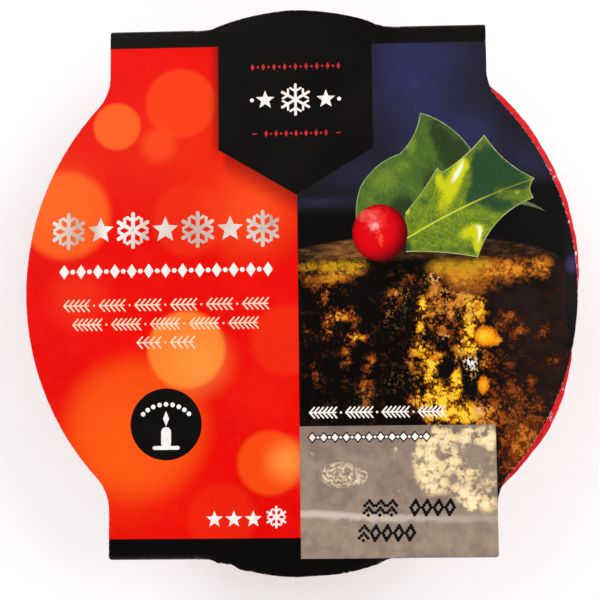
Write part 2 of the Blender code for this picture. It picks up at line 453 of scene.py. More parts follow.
# ------------------------------------------------------------------------------------------------
# Sleeve. One die-cut blank of 0.5 mm carton board, printed and varnished outside and bare grey
# inside. It is creased round the pot at four folds, and its two base flaps are glued together.
# Each tongue is cut free of a side panel, so that it stays level with the top over a slot.
# ------------------------------------------------------------------------------------------------
SLEEVE_LOW, SLEEVE_HIGH = (np.array(corner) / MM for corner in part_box("sleeve"))
TOP_Z = SLEEVE_HIGH[2]
WING_RADIUS = SLEEVE_HIGH[0]
TONGUE_TIP_Y = SLEEVE_HIGH[1]
CARD = 0.5
FOLD_RADIUS = 0.9
FOLD_Y = 46.0
BASE_FOLD_Y = 30.0
OUTER_FLAP_EDGE_Y = 14.0
INNER_FLAP_EDGE_Y = -6.0
FLAP_END_INSET = 2.0
FLAP_END_LENGTH = 3.0
PANEL_HALF_WIDTH = 32.9
BASE_HALF_WIDTH = 29.0
SHOULDER_RADIUS = 8.2
TAPER_TOP_Z = 34.2
CORNER_RADIUS = 0.6
CORNER_FADE = 4.0                 # how far down the side a rounded corner dies away
SLOT_HALF_WIDTH = 18.0
SLOT_BOTTOM_Z = 32.9
SLOT_CORNER_RADIUS = 1.8
TONGUE_HALF_WIDTH = 15.0
TONGUE_DROP = 0.2
TONGUE_SHOULDER = 1.5             # how far inside its ends a tongue starts to bend down
TONGUE_SHOULDER_DROP = 0.8
SIDE_LEAN = math.atan2(TOP_Z - FOLD_RADIUS, FOLD_Y - FOLD_RADIUS - BASE_FOLD_Y)
TOP_CORNER_Y = FOLD_Y - FOLD_RADIUS + FOLD_RADIUS * math.tan((math.pi - SIDE_LEAN) / 2)
CROWN = 0.25
WING_DROOP = 0.15
BEND_DROP = 0.2
CARD_ROW_STEPS = [2.2, 1.5, 0.4, 1.0, 0.7, 1.0, 0.4, 1.5, 2.2]
TONGUE_ROWS = 6
OUTER_COLUMNS = 40
MIDDLE_COLUMNS = 50
# Nicks and burrs that the die left in the tongues' edges: x, width, height beyond the cut
UPPER_NICKS = [(-1.0, 3.5, 0.12), (13.6, 0.7, -0.2)]
LOWER_NICKS = [(-14.6, 0.7, 0.35), (-12.0, 0.6, -0.35), (-10.2, 0.9, 0.15), (14.2, 0.8, -0.2),
               (2.4, 3.0, -0.15)]


def side_y(height):
    """Distance of a side panel's outer face from the middle, at that height."""
    return BASE_FOLD_Y + (TOP_CORNER_Y - BASE_FOLD_Y) * height / TOP_Z


def card_path():
    """The card's outer face in the YZ plane, from the outer base flap to the inner one.

    Both side panels also have points at the slot's bottom and at the top of its round corners.
    """
    slot_heights = (SLOT_BOTTOM_Z, SLOT_BOTTOM_Z + SLOT_CORNER_RADIUS)
    corners = [
        (OUTER_FLAP_EDGE_Y, 0.0),
        (-BASE_FOLD_Y, 0.0),
        *((-side_y(height), height) for height in slot_heights),
        (-TOP_CORNER_Y, TOP_Z),
        (TOP_CORNER_Y, TOP_Z),
        *((side_y(height), height) for height in reversed(slot_heights)),
        (side_y(CARD), CARD),
        (INNER_FLAP_EDGE_Y, CARD),
    ]
    fold, straight = FOLD_RADIUS, 0.0
    radii = [fold, straight, straight, fold, fold, straight, straight, fold]
    return rounded_line(corners, radii, CARD_ROW_STEPS)


def panel_half_width(y):
    """Half width of the top panel: the wing's circle, the hollow shoulder, the straight end."""
    shoulder_x = PANEL_HALF_WIDTH + SHOULDER_RADIUS
    shoulder_y = math.sqrt((WING_RADIUS + SHOULDER_RADIUS) ** 2 - shoulder_x ** 2)
    wing_end_y = shoulder_y * WING_RADIUS / (WING_RADIUS + SHOULDER_RADIUS)
    y = np.abs(y)
    wing = np.sqrt(np.clip(WING_RADIUS ** 2 - y ** 2, 0.0, None))
    hollow = np.sqrt(np.clip(SHOULDER_RADIUS ** 2 - (y - shoulder_y) ** 2, 0.0, None))
    return np.select([y < wing_end_y, y < shoulder_y], [wing, shoulder_x - hollow],
                     PANEL_HALF_WIDTH)


def tongue_edge(x, nicks):
    """Distance of a tongue's cut edge from the middle: a flat arc between two short shoulders."""
    reach = TONGUE_TIP_Y - FOLD_Y
    radius = (TONGUE_HALF_WIDTH ** 2 + reach ** 2) / (2 * reach)
    arc = TONGUE_TIP_Y - radius + np.sqrt(np.clip(radius ** 2 - x ** 2, 0.0, None))
    centres, widths, heights = np.array(nicks).T[:, :, None]
    burrs = (heights * np.exp(-((x - centres) / widths) ** 2)).sum(axis=0)
    return np.where(np.abs(x) < TONGUE_HALF_WIDTH, arc, FOLD_Y) + burrs


def panel_height(x, y):
    """Height of the printed face: crowned between its folds, the wings a little lower.

    TOP_Z + CROWN (1 - (y / fold)^2) - WING_DROOP (x / wing)^2, less the bent sliver's drop.
    """
    level = np.clip(1 - (y / FOLD_Y) ** 2, 0.0, 1.0)
    droop = CROWN + WING_DROOP
    return TOP_Z + level * (CROWN - droop * (x / WING_RADIUS) ** 2) - BEND_DROP * wing_bend(x, y)


def corner_inset(y, travelled, on_top):
    """How far the card draws in at the top panel's folds, so that its corners are round in plan.

    It is r - sqrt(r^2 - (r - d)^2) up to the fold's outermost line, with d the distance in plan to
    that line, and r * exp(-(s / fade)^2) below it, with s the distance along the card.
    """
    first, last = travelled[on_top][[0, -1]]
    past_fold = np.maximum(first - travelled, travelled - last) - FOLD_RADIUS * math.pi / 2
    rounding = np.clip(CORNER_RADIUS - FOLD_Y + np.abs(y), 0.0, CORNER_RADIUS)
    inset = CORNER_RADIUS - np.sqrt(CORNER_RADIUS ** 2 - rounding ** 2)
    return np.where(past_fold > 0, CORNER_RADIUS * np.exp(-(past_fold / CORNER_FADE) ** 2), inset)


def card_grid():
    """The wrapped blank as a grid: rows along the card's path, columns across it.

    A column is at slot half width * g + (half width - slot half width) * f, where g runs from -1
    to 1 between the slot's ends and f goes on to -1 or 1 at the card's edge.
    """
    path, normals = card_path()
    y, z = path.T
    travelled = np.concatenate([[0.0], np.cumsum(np.hypot(*np.diff(path, axis=0).T))])
    on_top = z > TOP_Z - 1e-6
    taper = BASE_HALF_WIDTH + (PANEL_HALF_WIDTH - BASE_HALF_WIDTH) * z / TAPER_TOP_Z
    half_width = np.where(on_top, panel_half_width(y), np.minimum(taper, PANEL_HALF_WIDTH))
    half_width = half_width - corner_inset(y, travelled, on_top)
    to_flap_end = np.minimum(travelled, travelled[-1] - travelled)
    half_width = half_width - FLAP_END_INSET * (1 - smooth_step(to_flap_end, 0.0, FLAP_END_LENGTH))
    in_corner = np.clip(SLOT_BOTTOM_Z + SLOT_CORNER_RADIUS - z, 0.0, SLOT_CORNER_RADIUS)
    slot = SLOT_HALF_WIDTH - SLOT_CORNER_RADIUS
    slot = slot + np.sqrt(SLOT_CORNER_RADIUS ** 2 - in_corner ** 2)
    station = np.concatenate([
        np.linspace(-2.0, -1.0, OUTER_COLUMNS, endpoint=False),
        np.linspace(-1.0, 1.0, MIDDLE_COLUMNS, endpoint=False),
        np.linspace(1.0, 2.0, OUTER_COLUMNS + 1),
    ])
    middle = np.clip(station, -1.0, 1.0)
    x = slot[:, None] * middle + (half_width - slot)[:, None] * (station - middle)
    points = np.stack([x, *np.broadcast_arrays(y[:, None], z[:, None], x)[:2]], axis=-1)
    points[on_top, :, 2] = panel_height(x[on_top], points[on_top, :, 1])
    return points, normals, travelled, half_width, on_top


def tongue_points(row, nicks):
    """Rows that carry a tongue on from the middle points of the panel's last level row.

    A row is lowered by drop * share^2, with the share of the way to the tongue's edge. The drop is
    larger at the tongue's shoulders, which bend down towards the folds beside them.
    """
    sign = math.copysign(1.0, row[0, 1])
    share = np.linspace(0.0, 1.0, TONGUE_ROWS + 1)[1:, None]
    x = np.broadcast_to(row[:, 0], (TONGUE_ROWS, len(row)))
    edge = tongue_edge(row[:, 0], nicks)
    y = sign * (np.abs(row[:, 1]) + share * (edge - np.abs(row[:, 1])))
    shoulder = smooth_step(np.abs(row[:, 0]), TONGUE_HALF_WIDTH - TONGUE_SHOULDER, SLOT_HALF_WIDTH)
    z = row[:, 2] - (TONGUE_DROP + TONGUE_SHOULDER_DROP * shoulder) * share ** 2
    return np.stack([x, y, z], axis=-1)


def sleeve_sheet():
    """The blank's outer face: its points, quads, normals, and what the print and the map need.

    Those are each point's distance along the flat blank and from the cut edge, and the distances
    at which the top panel starts and ends. The middle quads of the slots are left out, and the
    tongues start from the same rows.
    """
    grid, row_normals, travelled, half_width, on_top = card_grid()
    rows, columns = grid.shape[:2]
    index = numbered(rows, columns)
    quads = grid_faces(index).reshape(rows - 1, columns - 1, 4)
    high = grid[:, 0, 2] >= SLOT_BOTTOM_Z - 1e-6
    level = on_top[:-1] & on_top[1:]
    cut = np.zeros((rows - 1, columns - 1), bool)
    cut[:, OUTER_COLUMNS:-OUTER_COLUMNS] = (high[:-1] & high[1:] & ~level)[:, None]
    first, last = np.flatnonzero(on_top)[[0, -1]]
    points, faces = [grid.reshape(-1, 3)], [quads[~cut]]
    developed = [np.repeat(travelled, columns)]
    apart = 1e-9 * np.arange(rows)        # so that rows at one y don't make the slope infinite
    slope = np.gradient(half_width, grid[:, 0, 1] + apart)
    to_edge = (half_width[:, None] - np.abs(grid[:, :, 0])) / np.hypot(1, slope * on_top)[:, None]
    edge = [to_edge.ravel()]
    middle = slice(OUTER_COLUMNS, -OUTER_COLUMNS)
    count = rows * columns
    for row, nicks, flip in ((first, LOWER_NICKS, True), (last, UPPER_NICKS, False)):
        tongue = tongue_points(grid[row, middle], nicks)
        numbers = count + numbered(*tongue.shape[:2])
        faces.append(grid_faces(np.vstack([index[row, middle], numbers]), flip=flip))
        points.append(tongue.reshape(-1, 3))
        beyond = np.abs(tongue[:, :, 1]) - abs(grid[row, 0, 1])
        developed.append((travelled[row] + (-beyond if flip else beyond)).ravel())
        edge.append((np.abs(tongue[-1, :, 1]) - np.abs(tongue[:, :, 1])).ravel())
        count += tongue.shape[0] * tongue.shape[1]
    points, faces = np.vstack(points), np.vstack(faces)
    developed, edge = np.concatenate(developed), np.concatenate(edge)
    normals = np.tile([0.0, 0.0, 1.0], (len(points), 1))
    normals[:rows * columns, 1:] = np.repeat(row_normals, columns, axis=0)
    return points, faces, normals, developed, edge, (travelled[first], travelled[last])


# The print's layout on the top panel, and the red band's top on the side panels
PRINT_EDGE = 0.06                 # half width of the soft step between two printed fields
DIVIDER_X = -0.3
UPPER_BAND_Y = 42.7
LOWER_BAND_Y = -42.4
BADGE = (-13.9, 13.0, 16.2, 0.6)            # left, right, height of the point, slope of its sides
BADGE_SHADOW_SIDE = 1.8                     # how wide the shadow is beside the badge
BADGE_SHADOW_START = (22.0, 26.0)           # the shadow at its side fades in between these heights
BADGE_SHADOW_FOOT = 4.6                     # how far it falls below the badge's point
BADGE_SHADOW_INSET = 2.0                    # under the point it fades in from the left over this
BADGE_SHADOW_STRENGTH = 0.62
DATE_PANEL = (-0.3, 32.9, -45.9, -23.7)     # left, right, bottom, top
SIDE_BAND_Z = 15.0
FOLD_INK = (0.8, 1.6)             # how far under the top the picture has turned to black
CREASE_WIDTH = 0.5                # half width of the scuffed line along a fold, also a painted highlight
# The far edge of the pudding's top is half an ellipse: middle x, y of its ends, half width, height
PUDDING_TOP = (20.0, 3.5, 25.6, 5.4)
# Discs of out-of-focus light: x, y, radius, blur, strength, colour
LIGHT_DISCS = [
    (-19.0, 25.0, 9.0, 9.0, 0.20, (250, 84, 34)),
    (-37.0, 22.0, 8.0, 8.0, 0.16, (250, 70, 24)),
    (-8.0, 13.5, 6.0, 6.0, 0.55, (250, 96, 34)),
    (-30.0, -34.0, 8.0, 8.0, 0.30, (246, 40, 6)),
    (-38.5, -1.4, 4.4, 3.2, 0.40, (244, 62, 26)),
    (-20.5, 32.7, 6.1, 0.5, 0.80, (244, 66, 20)),
    (-24.4, 25.3, 2.9, 1.2, 0.50, (249, 88, 32)),
    (-31.7, 28.8, 4.1, 0.4, 0.88, (249, 98, 32)),
    (-40.6, 13.2, 7.6, 1.0, 0.85, (249, 98, 30)),
    (-42.0, 16.0, 5.0, 5.0, 0.30, (252, 122, 44)),
    (-19.1, 12.1, 6.3, 0.9, 0.42, (240, 58, 20)),
    (-28.2, -23.6, 11.4, 3.0, 0.80, (245, 82, 12)),
    (-31.0, -27.0, 8.0, 8.0, 0.30, (250, 104, 22)),
    (-19.6, -10.4, 6.6, 0.6, 0.85, (250, 134, 46)),
    (-17.6, -12.5, 4.0, 4.0, 0.50, (254, 158, 72)),
    (-2.4, -9.0, 6.0, 0.8, 0.50, (238, 52, 16)),
    (-6.5, -18.0, 4.5, 3.5, 0.30, (240, 36, 10)),
    (-5.5, -29.8, 5.4, 0.6, 0.72, (246, 82, 14)),
    (-2.6, -29.6, 2.6, 2.6, 0.85, (250, 148, 60)),
    (-13.6, -38.8, 5.6, 1.0, 0.42, (238, 48, 14)),
]
# Blue light in the night sky behind the pudding, in the form of all the lists of spots below:
# x, y, half width, half height, strength
SKY_LIGHT = [
    (21.0, 38.0, 9.0, 12.0, 0.85),
    (27.0, 24.0, 8.0, 6.0, 0.45),
    (9.0, 20.0, 5.0, 3.0, 0.30),
    (3.0, 14.8, 6.0, 0.7, 0.40),
    (31.0, 27.0, 3.0, 4.0, 0.35),
    (40.0, 22.0, 3.5, 3.0, 0.35),
    (46.6, 3.4, 1.1, 1.6, 1.20),
]
# How bright the pudding's cut crumb is
CRUMB_LIGHT = [
    (4.4, -0.6, 1.2, 1.2, 0.50),
    (3.9, -2.6, 0.5, 0.8, 0.50),
    (7.2, -4.8, 2.2, 0.8, 0.85),
    (5.4, -6.4, 1.0, 1.1, 0.75),
    (9.6, -6.0, 0.7, 0.7, 0.60),
    (9.4, -8.7, 1.7, 0.6, 0.80),
    (16.8, -1.2, 0.8, 1.2, 0.85),
    (19.4, 1.4, 1.2, 1.2, 0.34),
    (7.8, -12.2, 0.8, 2.2, 0.48),
    (4.4, -8.0, 0.9, 0.9, 0.45),
    (12.0, -13.2, 0.6, 1.3, 0.60),
    (11.0, -18.0, 1.0, 2.4, 0.50),
    (18.3, -13.0, 0.8, 1.2, 0.55),
    (19.6, -11.0, 0.9, 1.0, 0.75),
    (19.6, -16.5, 0.7, 2.4, 0.42),
    (20.8, -4.0, 0.5, 2.0, 1.05),
    (20.5, -7.8, 0.5, 2.0, 1.15),
    (20.9, -10.4, 0.7, 0.8, 0.70),
    (23.4, -1.5, 1.6, 2.6, 0.56),
    (24.2, -7.0, 1.4, 2.6, 0.40),
    (22.6, -4.6, 1.0, 2.4, 0.42),
    (26.2, -3.8, 0.9, 2.2, 0.90),
    (28.0, -0.8, 1.2, 1.8, 1.00),
    (30.0, -3.6, 1.4, 2.2, 1.05),
    (28.8, -7.4, 1.0, 2.8, 1.05),
    (22.5, -12.6, 1.5, 1.3, 1.30),
    (22.1, -16.4, 1.0, 2.6, 1.10),
    (19.8, -19.9, 1.4, 1.1, 1.15),
    (23.8, -19.0, 2.0, 1.6, 1.20),
    (26.6, -16.2, 0.9, 2.4, 1.25),
    (28.4, -10.6, 1.6, 1.3, 1.45),
    (31.6, -13.2, 1.1, 1.8, 0.55),
    (25.8, -21.6, 2.4, 1.4, 1.15),
    (22.4, -22.6, 1.4, 1.2, 0.80),
    (30.0, -22.2, 2.6, 2.0, 0.86),
    (31.4, -22.4, 1.4, 1.5, 0.50),
    (40.4, -19.8, 1.0, 1.2, 0.40),
    (28.8, -14.6, 1.2, 1.5, -1.40),
    (24.6, -14.0, 0.9, 1.2, -0.55),
    (36.0, -5.4, 1.4, 1.0, 0.42),
    (37.4, -8.0, 1.6, 1.1, 0.44),
    (41.4, -8.2, 0.9, 1.2, 0.44),
    (43.4, -13.2, 1.9, 0.7, 0.46),
    (34.4, -13.0, 2.0, 2.0, 0.24),
    (35.4, -18.2, 3.0, 2.8, 0.34),
    (37.8, -25.0, 4.4, 3.6, 0.48),
    (36.0, -30.0, 2.4, 3.8, 0.42),
    (3.4, 0.6, 1.6, 0.7, 0.55),
    (1.2, -7.6, 0.6, 0.9, 0.28),
    (2.6, -14.6, 0.9, 1.6, 0.22),
    (15.4, -1.6, 0.7, 0.8, 0.40),
    (34.4, -7.0, 1.2, 1.6, 0.40),
    (39.0, -16.4, 0.8, 0.8, 0.32),
]
# Plump fruit with a smooth skin
PLUMP_FRUIT = [
    (31.6, -8.8, 2.2, 2.0, 0.90),
    (30.8, -8.6, 0.9, 0.8, 0.30),
    (33.8, -9.6, 0.9, 0.7, 0.45),
    (31.0, -17.0, 1.2, 1.9, 0.85),
    (29.5, -1.3, 0.9, 0.8, 0.62),
    (30.4, -3.6, 0.9, 1.0, 0.68),
    (31.0, -5.6, 0.8, 0.8, 0.60),
    (27.4, -7.9, 0.7, 0.9, 0.55),
    (22.8, -12.3, 1.3, 1.0, 0.65),
    (24.9, -20.4, 1.5, 0.9, 0.50),
]
# Where the crumb is golden fruit and not brown cake
GOLDEN_LIGHT = [
    (20.7, -6.0, 1.6, 6.0, 1.2),
    (30.0, -6.5, 3.4, 6.0, 1.0),
    (24.0, -16.5, 5.0, 5.0, 1.4),
    (25.0, -22.5, 4.4, 2.4, 1.2),
    (9.3, -8.7, 2.4, 1.0, 0.8),
    (6.8, -5.4, 2.6, 2.0, 0.4),
    (31.2, -17.0, 1.4, 1.8, 0.5),
]
# Moist glints on dark fruit
GLINTS = [
    (28.9, -13.3, 1.5, 1.3, 2.1),
    (29.3, -15.4, 0.9, 1.3, 0.9),
    (24.6, -8.6, 1.8, 0.9, 1.0),
    (26.6, -12.2, 0.9, 0.9, 1.1),
    (24.6, -2.6, 2.4, 4.0, 0.95),
    (29.0, -3.4, 1.6, 4.4, 1.0),
    (22.8, 1.6, 1.8, 1.8, 1.0),
    (30.0, -21.4, 2.6, 2.0, 1.2),
    (15.6, -4.6, 2.4, 4.4, 0.55),
    (11.0, -19.0, 2.0, 3.0, 0.60),
    (16.0, -16.0, 2.4, 3.0, 0.40),
    (37.0, -22.0, 4.6, 4.6, 0.50),
    (18.0, -1.4, 1.4, 1.4, 0.7),
    (19.0, -13.6, 1.2, 3.4, 0.60),
]
# Light along the golden rim of the pudding's top
RIM_LIGHT = [
    (1.0, 3.7, 5.0, 1.2, 0.48),
    (7.0, 3.4, 3.8, 1.3, 0.68),
    (4.6, 1.2, 2.2, 1.0, 0.58),
    (1.0, 1.6, 1.2, 1.0, 0.40),
    (7.6, 1.9, 1.8, 1.1, 0.50),
    (10.2, 3.6, 1.6, 1.4, 0.56),
    (24.4, 3.2, 2.8, 1.5, 0.80),
    (29.8, 2.9, 4.0, 2.0, 0.85),
    (27.2, 0.6, 2.4, 1.4, 0.66),
    (36.4, 2.6, 4.4, 2.2, 0.72),
    (41.6, 3.2, 1.6, 1.8, 0.72),
    (31.0, -0.8, 2.6, 1.4, 0.40),
]
# Bright fruit that shows through the tinted date panel
GHOST_LIGHT = [
    (23.6, -25.6, 2.6, 2.0, 0.75),
    (28.2, -25.4, 1.5, 1.4, 0.90),
    (20.8, -29.6, 2.0, 3.4, 1.05),
    (22.0, -33.6, 1.8, 1.8, 0.95),
    (25.2, -34.8, 1.6, 1.0, 0.35),
    (28.2, -35.8, 1.9, 2.0, 0.98),
    (28.2, -31.6, 1.5, 1.2, 0.55),
    (26.0, -30.4, 3.2, 3.4, 0.75),
    (31.4, -26.4, 1.8, 2.6, 0.90),
    (31.8, -33.0, 1.6, 3.0, 0.50),
    (30.4, -37.2, 2.8, 1.4, 0.75),
    (29.6, -28.6, 1.5, 1.1, -0.95),
    (25.6, -32.6, 0.9, 0.8, -0.40),
    (16.0, -28.0, 0.8, 1.6, 0.56),
    (1.4, -28.2, 1.4, 0.8, 0.44),
    (16.6, -34.6, 0.8, 0.4, 0.50),
]
# The sugar rosette that shows through it: x, y, half width, half height; and it with a loose petal
ROSETTE = (6.5, -31.9, 3.5, 2.2)
ROSETTE_SPOTS = [(*ROSETTE, 1.0), (10.3, -32.4, 0.8, 1.1, 0.6)]


def print_fields(x, y):
    """Numbers that the print's material reads at the points (x, y) of the top panel.

    The pudding's top ends at end_y + height * sqrt(1 - ((x - middle_x) / half width)^2).
    """
    middle_x, end_y, half_width, height = PUDDING_TOP
    crust_top = end_y + height * np.sqrt(np.clip(1 - ((x - middle_x) / half_width) ** 2, 0.0, 1.0))
    return [
        ("sky", soft_spots(x, y, SKY_LIGHT)),
        ("below_crust", crust_top - y),
        ("crumb", soft_spots(x, y, CRUMB_LIGHT)),
        ("gold", soft_spots(x, y, GOLDEN_LIGHT)),
        ("plump", soft_spots(x, y, PLUMP_FRUIT)),
        ("glint", soft_spots(x, y, GLINTS)),
        ("rim", soft_spots(x, y, RIM_LIGHT)),
        ("ghost", soft_spots(x, y, GHOST_LIGHT)),
        ("rosette", soft_spots(x, y, ROSETTE_SPOTS)),
        ("bent", wing_bend(x, y)),
    ]


def varnish_group():
    """Node group of the varnish over every ink: fibres of the board show through as a fine height
    pattern, and the gloss drifts with them. Roughness and Height change over the surface."""
    group = bpy.data.node_groups.new("satin_varnish", "ShaderNodeTree")
    for title, value in (("Smoothest", 0.24), ("Dullest", 0.34)):
        socket = group.interface.new_socket(title, in_out="INPUT", socket_type="NodeSocketFloat")
        socket.default_value = value
    for title in ("Roughness", "Height"):
        group.interface.new_socket(title, in_out="OUTPUT", socket_type="NodeSocketFloat")
    entry = group.nodes.new("NodeGroupInput")
    leaving = group.nodes.new("NodeGroupOutput")
    fibres = mottle(group, place(group, stretch=(1.0, 0.45, 1.0)), 3.0, detail=4.0, roughness=0.6)
    drift = mottle(group, place(group), 0.15, detail=3.0)
    gloss = fade(group, drift, 0.3, 0.7, entry.outputs["Smoothest"], entry.outputs["Dullest"])
    feed(group, leaving.inputs["Roughness"], gloss)
    feed(group, leaving.inputs["Height"], fibres)
    return group


SATIN_VARNISH = varnish_group()


def varnish(tree, shader, smoothest, dullest, depth=0.012):
    """Puts the satin varnish on a material: its roughness and its fine relief."""
    coat = tree.nodes.new("ShaderNodeGroup")
    coat.node_tree = SATIN_VARNISH
    coat.inputs["Smoothest"].default_value = smoothest
    coat.inputs["Dullest"].default_value = dullest
    shader.inputs["Specular IOR Level"].default_value = 0.07
    tree.links.new(coat.outputs["Roughness"], shader.inputs["Roughness"])
    tilt(tree, shader, coat.outputs["Height"], depth)


def red_ground(tree):
    """Warm red that drifts a little from place to place."""
    drift = mottle(tree, place(tree), 0.06, detail=3.0)
    cloud = mottle(tree, place(tree), 0.45, detail=5.0, roughness=0.7)
    colour = layer(tree, ink(222, 1, 0), fade(tree, drift, 0.3, 0.7), ink(234, 8, 2))
    return layer(tree, colour, fade(tree, cloud, 0.4, 0.75, 0.0, 0.16), ink(238, 46, 14))


def distance_from(tree, flat, x, y):
    """Distance in millimetres from the place (x, y), on coordinates with no height."""
    node = tree.nodes.new("ShaderNodeVectorMath")
    node.operation = "DISTANCE"
    tree.links.new(flat, node.inputs[0])
    node.inputs[1].default_value = (x, y, 0.0)
    return node.outputs["Value"]


def red_field(tree):
    """The red ground with discs of out-of-focus light, one over the other."""
    flat = place(tree, stretch=(1.0, 1.0, 0.0))
    colour = red_ground(tree)
    for x, y, radius, blur, strength, tint in LIGHT_DISCS:
        away = distance_from(tree, flat, x, y)
        colour = layer(tree, colour, fade(tree, away, radius + blur, radius - blur, 0.0, strength),
                       ink(*tint))
    return colour


def night_field(tree, x, y):
    """The dark behind the pudding: patches of navy that end in black above its crust."""
    cloud = mottle(tree, place(tree), 0.12, detail=3.0, roughness=0.6)
    amount = calc(tree, "MULTIPLY", held(tree, "sky"), fade(tree, cloud, 0.2, 0.7, 0.6, 1.15))
    colour = tones(tree, amount, [
        (0.0, ink(25, 23, 27)), (0.35, ink(37, 36, 58)), (0.8, ink(44, 43, 84)),
        (1.0, ink(52, 50, 96)),
    ])
    above_dark = calc(tree, "SUBTRACT", y, fade(tree, x, 30.0, 38.0, 12.2, 17.0))
    return layer(tree, colour, fade(tree, above_dark, 2.0, 0.0), ink(8, 6, 5))


def stirred(tree, vector, scale, reach):
    """The vector, pushed about by a cloudy pattern over as much as reach."""
    noise = tree.nodes.new("ShaderNodeTexNoise")
    feed(tree, noise.inputs["Vector"], vector)
    noise.inputs["Scale"].default_value = scale
    push = tree.nodes.new("ShaderNodeVectorMath")
    push.operation = "MULTIPLY_ADD"
    tree.links.new(noise.outputs["Color"], push.inputs[0])
    push.inputs[1].default_value = (2 * reach,) * 3
    tree.links.new(vector, push.inputs[2])
    return push.outputs[0]


def grains(tree, vector, scale):
    """Grains packed in a plane, about scale to the millimetre.

    Returns how far a place is from its grain's middle, and a random number for each grain.
    """
    node = tree.nodes.new("ShaderNodeTexVoronoi")
    node.voronoi_dimensions = "2D"
    feed(tree, node.inputs["Vector"], vector)
    node.inputs["Scale"].default_value = scale
    number = tree.nodes.new("ShaderNodeSeparateColor")
    tree.links.new(node.outputs["Color"], number.inputs[0])
    return node.outputs["Distance"], number.outputs[0]


def wet_glints(tree):
    """Flecks of light on moist crumb: the peaks of a fine ragged pattern, more of them where the
    mesh's glint number is high."""
    flecks = mottle(tree, place(tree, stretch=(1.2, 0.8, 1.0), turn=20.0), 1.9, detail=3.0,
                    roughness=0.7, distortion=0.5)
    peaks = calc(tree, "ADD", flecks, calc(tree, "MULTIPLY", held(tree, "glint"), 0.09))
    return fade(tree, peaks, 0.61, 0.67)


def packed_crumb(tree):
    """How fruit and crumbs are packed: a pattern of both, of fruit alone, and their fine grain."""
    flat = stirred(tree, place(tree), 1.1, 0.55)
    fruit_away, fruit_number = grains(tree, flat, 0.6)
    crumb_away, crumb_number = grains(tree, flat, 1.7)
    fruit = calc(tree, "MULTIPLY", fade(tree, fruit_away, 0.72, 0.2, 0.25, 1.0),
                 fade(tree, fruit_number, 0.0, 1.0, 0.4, 1.1))
    crumb = calc(tree, "MULTIPLY", fade(tree, crumb_away, 0.7, 0.2, 0.15, 1.0),
                 fade(tree, crumb_number, 0.1, 0.9, 0.05, 1.0))
    packed = calc(tree, "ADD", calc(tree, "MULTIPLY", fruit, 0.67),
                  calc(tree, "MULTIPLY", crumb, 0.54))
    grain = mottle(tree, place(tree, stretch=(1.5, 0.9, 1.0)), 2.7, detail=3.0, roughness=0.6)
    packed = calc(tree, "ADD", packed, fade(tree, grain, 0.34, 0.68, -0.09, 0.26))
    return packed, fruit, grain


def crumb_colour(tree, x, packed, grain):
    """The cut face: near black, with brown cake, golden fruit and a few plump ones where they lie.

    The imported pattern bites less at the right, where the cut face is out of focus and hazy.
    """
    bite = fade(tree, packed, 0.12, 1.0, 0.16, 1.42)
    softened = calc(tree, "MULTIPLY", fade(tree, x, 31.0, 36.0, 0.0, 0.6),
                    calc(tree, "SUBTRACT", 0.78, bite))
    bite = calc(tree, "ADD", bite, softened)
    amount = calc(tree, "MULTIPLY", held(tree, "crumb"), bite)
    amount = calc(tree, "ADD", amount, fade(tree, packed, 0.5, 1.15, -0.03, 0.15))
    brown = tones(tree, amount, [
        (0.05, ink(14, 6, 3)), (0.16, ink(54, 21, 5)), (0.3, ink(106, 44, 8)),
        (0.5, ink(154, 76, 14)), (0.8, ink(212, 134, 44)),
    ])
    golden = tones(tree, amount, [
        (0.06, ink(14, 6, 2)), (0.18, ink(66, 32, 6)), (0.34, ink(148, 82, 10)),
        (0.52, ink(204, 134, 8)), (0.78, ink(234, 174, 14)), (1.0, ink(246, 204, 56)),
    ])
    patches = mottle(tree, place(tree), 0.22, detail=4.0, roughness=0.6)
    haze = calc(tree, "MULTIPLY", fade(tree, x, 29.0, 36.0),
                fade(tree, patches, 0.35, 0.6, 0.3, 1.0))
    colour = layer(tree, layer(tree, ink(2, 1, 0), patches, ink(10, 4, 2)), haze, ink(33, 18, 14))
    fruit_colour = layer(tree, brown, fade(tree, held(tree, "gold"), 0.2, 0.8), golden)
    colour = layer(tree, colour, fade(tree, amount, 0.05, 0.16), fruit_colour)
    plump = calc(tree, "ADD", held(tree, "plump"), fade(tree, grain, 0.3, 0.7, -0.09, 0.09))
    plump_colour = tones(tree, plump, [
        (0.36, ink(112, 50, 4)), (0.47, ink(200, 104, 4)), (0.72, ink(244, 158, 12)),
        (1.0, ink(255, 198, 44)),
    ])
    return layer(tree, colour, fade(tree, plump, 0.36, 0.46), plump_colour)


def rim_light(tree, x, y, packed, streaks):
    """The rim of the pudding's top: how lit it is, ragged at both ends, and its colour there.

    It is olive gold in the middle, and orange lower down and at the right.
    """
    rough_end = calc(tree, "ADD", fade(tree, x, 14.0, 10.0), fade(tree, x, 29.0, 37.0))
    ragged = calc(tree, "ADD", fade(tree, streaks, 0.3, 0.7, 0.5, 0.85),
                  fade(tree, packed, 0.1, 1.0, 0.0, 0.35))
    ragged = calc(tree, "ADD", ragged, calc(tree, "MULTIPLY", rough_end,
                                            fade(tree, packed, 0.2, 0.95, -0.24, 0.19)))
    rim = calc(tree, "MULTIPLY", held(tree, "rim"), ragged)
    olive = tones(tree, rim, [
        (0.1, ink(34, 20, 8)), (0.3, ink(88, 58, 12)), (0.55, ink(146, 104, 12)),
        (0.85, ink(190, 140, 20)),
    ])
    orange = tones(tree, rim, [
        (0.1, ink(36, 17, 8)), (0.3, ink(106, 52, 12)), (0.55, ink(168, 94, 16)),
        (0.85, ink(220, 142, 34)),
    ])
    orange_part = calc(tree, "ADD", fade(tree, y, 3.4, 1.6, 0.0, 0.8), fade(tree, x, 29.0, 36.0))
    return rim, layer(tree, olive, orange_part, orange)


